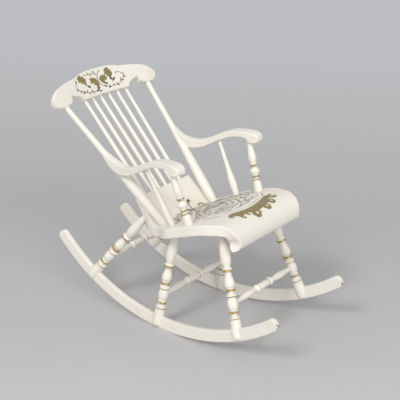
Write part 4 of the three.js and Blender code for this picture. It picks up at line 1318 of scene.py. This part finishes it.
# %% Worn strokes
STROKE = [(0, 0), (6, 2.4), (14, 3.0), (22, 1.4), (28, -0.6), (18, -1.0), (8, -1.6)]
STROKE_RINGS = (0.16, 0.31, 0.46, 0.6, 0.72, 0.84, 0.93, 1.01, 1.08)
STROKES_ON_OVAL, STROKES_LEAST = 36, 5
STROKE_TILT, STROKE_LEANS = 60, (-13, 11)
CRESCENT_FROM, CRESCENT_TO, CRESCENT_SHARE = 208, 342, 0.8
BARE_BELOW_X = -150
dice = random.Random(11)
strokes = []
for share in STROKE_RINGS:
    count = round(STROKES_ON_OVAL * share) + STROKES_LEAST
    for k in range(count):
        angle = 360 * k / count + dice.uniform(-3, 3)
        if share > CRESCENT_SHARE and CRESCENT_FROM < angle % 360 < CRESCENT_TO:
            continue
        x, y = oval(angle, share + dice.uniform(-0.035, 0.035))
        if x < BARE_BELOW_X:
            continue
        turn = math.radians(angle)
        along = math.degrees(math.atan2(STROKE_TILT * math.cos(turn), -MEDALLION_WIDE * math.sin(turn)))
        lean = STROKE_LEANS[k % 2] + dice.uniform(-12, 12)
        strokes.append((x, y, along + lean, dice.uniform(0.8, 1.7)))
stroke_pattern = flat_film("stroke_pattern", [STROKE], WORN_GREY, 0)
laid_on(set_out("seat_painted_strokes", stroke_pattern, strokes, WORN_GREY), seat_surface)
bpy.data.objects.remove(stroke_pattern)
print("seat strokes", len(strokes))

# %% [markdown]
# ## Sprig and touch
# Behind the medallion a small umber sprig grows up onto the riser, and beside it one rust red touch
# has outlasted the flower it belonged to.

# %% Sprig and touch
sprig = [painted_line([(52, 116), (51, 100), (38, 72), (2, 36), (-34, 4)], 4.6, 5),
         painted_line([(49, 100), (54, 112), (64, 120), (74, 116)], 11.0, 5),
         painted_line([(38, 72), (28, 76), (20, 68)], 5.0, 5)]
touch = painted_line([(88, 84), (102, 92), (118, 84), (118, 62)], 9.0, 5)
laid_on(flat_film("seat_painted_sprig", sprig, UMBER, 0), seat_surface)
laid_on(flat_film("seat_painted_touch", [touch], RUST, 0), seat_surface)
print("sprig lines", len(sprig))

# %% [markdown]
# ## The floor
# The chair was photographed on a seamless pale grey floor. One wide plane fills the picture. It is
# lightest near the camera and darker behind the chair, with faint clouds, and that comes from a ramp
# along the floor rather than from more light.

# %% Floor
FLOOR_SIDE, FLOOR_BACK = 30, 60
FLOOR_FROM, FLOOR_TO, CLOUD_DRIFT = -0.85, 4.25, 0.5
FLOOR_NEAR, FLOOR_FAR = (0.575, 0.575, 0.57, 1), (0.485, 0.49, 0.51, 1)
FLOOR_BETWEEN = ((0.2, 0.485), (0.42, 0.425))
AWAY_FROM_CAMERA = (0.8, 0.6, 0)


def floor_material():
    made = bpy.data.materials.new("studio_floor")
    made.use_nodes = True
    tree = made.node_tree
    link = tree.links.new
    shader = tree.nodes["Principled BSDF"]
    shader.inputs["Roughness"].default_value = 0.75
    shader.inputs["Specular IOR Level"].default_value = 0.2
    place = tree.nodes.new("ShaderNodeTexCoord").outputs["Object"]
    away = node(tree, "ShaderNodeVectorMath", operation="DOT_PRODUCT")
    away.inputs[1].default_value = AWAY_FROM_CAMERA
    link(place, away.inputs[0])
    drift = node(tree, "ShaderNodeMath", operation="MULTIPLY_ADD")
    drift.inputs[1].default_value = CLOUD_DRIFT
    link(noise(tree, place, scale=1.3, detail=2.0), drift.inputs[0])
    link(away.outputs["Value"], drift.inputs[2])
    shade = tree.nodes.new("ShaderNodeValToRGB")
    stops = shade.color_ramp.elements
    stops[0].position, stops[0].color = 0.0, FLOOR_NEAR
    stops[1].position, stops[1].color = 1.0, FLOOR_FAR
    for position, grey in FLOOR_BETWEEN:
        stops.new(position).color = (grey, grey, grey * 1.01, 1)
    link(ranged(tree, drift.outputs[0], (FLOOR_FROM, FLOOR_TO)), shade.inputs["Fac"])
    link(shade.outputs["Color"], shader.inputs["Base Color"])
    return made


floor_mesh = bpy.data.meshes.new("floor")
floor_corners = [(-FLOOR_SIDE, -FLOOR_SIDE, 0), (FLOOR_SIDE, -FLOOR_SIDE, 0),
                 (FLOOR_SIDE, FLOOR_BACK, 0), (-FLOOR_SIDE, FLOOR_BACK, 0)]
floor_mesh.from_pydata(floor_corners, [], [(0, 1, 2, 3)])
floor_mesh.materials.append(floor_material())
floor = shown("floor", floor_mesh)
print("floor", 2 * FLOOR_SIDE, "by", FLOOR_SIDE + FLOOR_BACK, "m")

# %% [markdown]
# ## The light
# Two broad lamps stand for the studio's soft boxes: a key over the camera's left shoulder that
# models the forms and casts the short shadow, and a wider fill to its right. The world lights what
# neither reaches. All are low enough for the ivory to keep its colour.

# %% Light
def broad_light(name, towards, strength, spread):
    """A lamp far off in one direction. The wider its spread in degrees, the softer its shadow."""
    lamp = bpy.data.lights.new(name, "SUN")
    lamp.energy, lamp.angle = strength, math.radians(spread)
    holder = bpy.data.objects.new(name, lamp)
    bpy.context.scene.collection.objects.link(holder)
    holder.rotation_euler = Vector(towards).to_track_quat("Z", "Y").to_euler()


broad_light("key_light", (-1.1, -0.03, 1.0), 1.3, 18)
broad_light("fill_light", (-0.5, -1.0, 0.62), 1.18, 40)
world = bpy.data.worlds.new("studio_world")
bpy.context.scene.world = world
world.use_nodes = True
surroundings = world.node_tree.nodes["Background"]
surroundings.inputs["Color"].default_value = (1, 1, 1, 1)
surroundings.inputs["Strength"].default_value = 0.57
print("lamps", [lamp.name for lamp in bpy.data.lights])

# %% [markdown]
# ## The camera
# The camera was fitted to points that the chair mirrors left and right, such as feet, ears and arm
# ends. It looks down at the chair's right side from a few metres away, so the lens is long.

# %% Camera
camera_data = bpy.data.cameras.new("camera")
camera_data.sensor_width = 36.0
camera_data.lens = 96.87
camera_data.shift_x, camera_data.shift_y = -0.0063, -0.0046
camera = bpy.data.objects.new("camera", camera_data)
bpy.context.scene.collection.objects.link(camera)
camera.location = (-3.1453, -2.3147, 2.0607)
camera.rotation_euler = [math.radians(a) for a in (67.987, -1.94, -53.213)]
bpy.context.scene.camera = camera
bpy.context.scene.view_settings.view_transform = "Standard"
print("camera at", [round(v, 2) for v in camera.location])
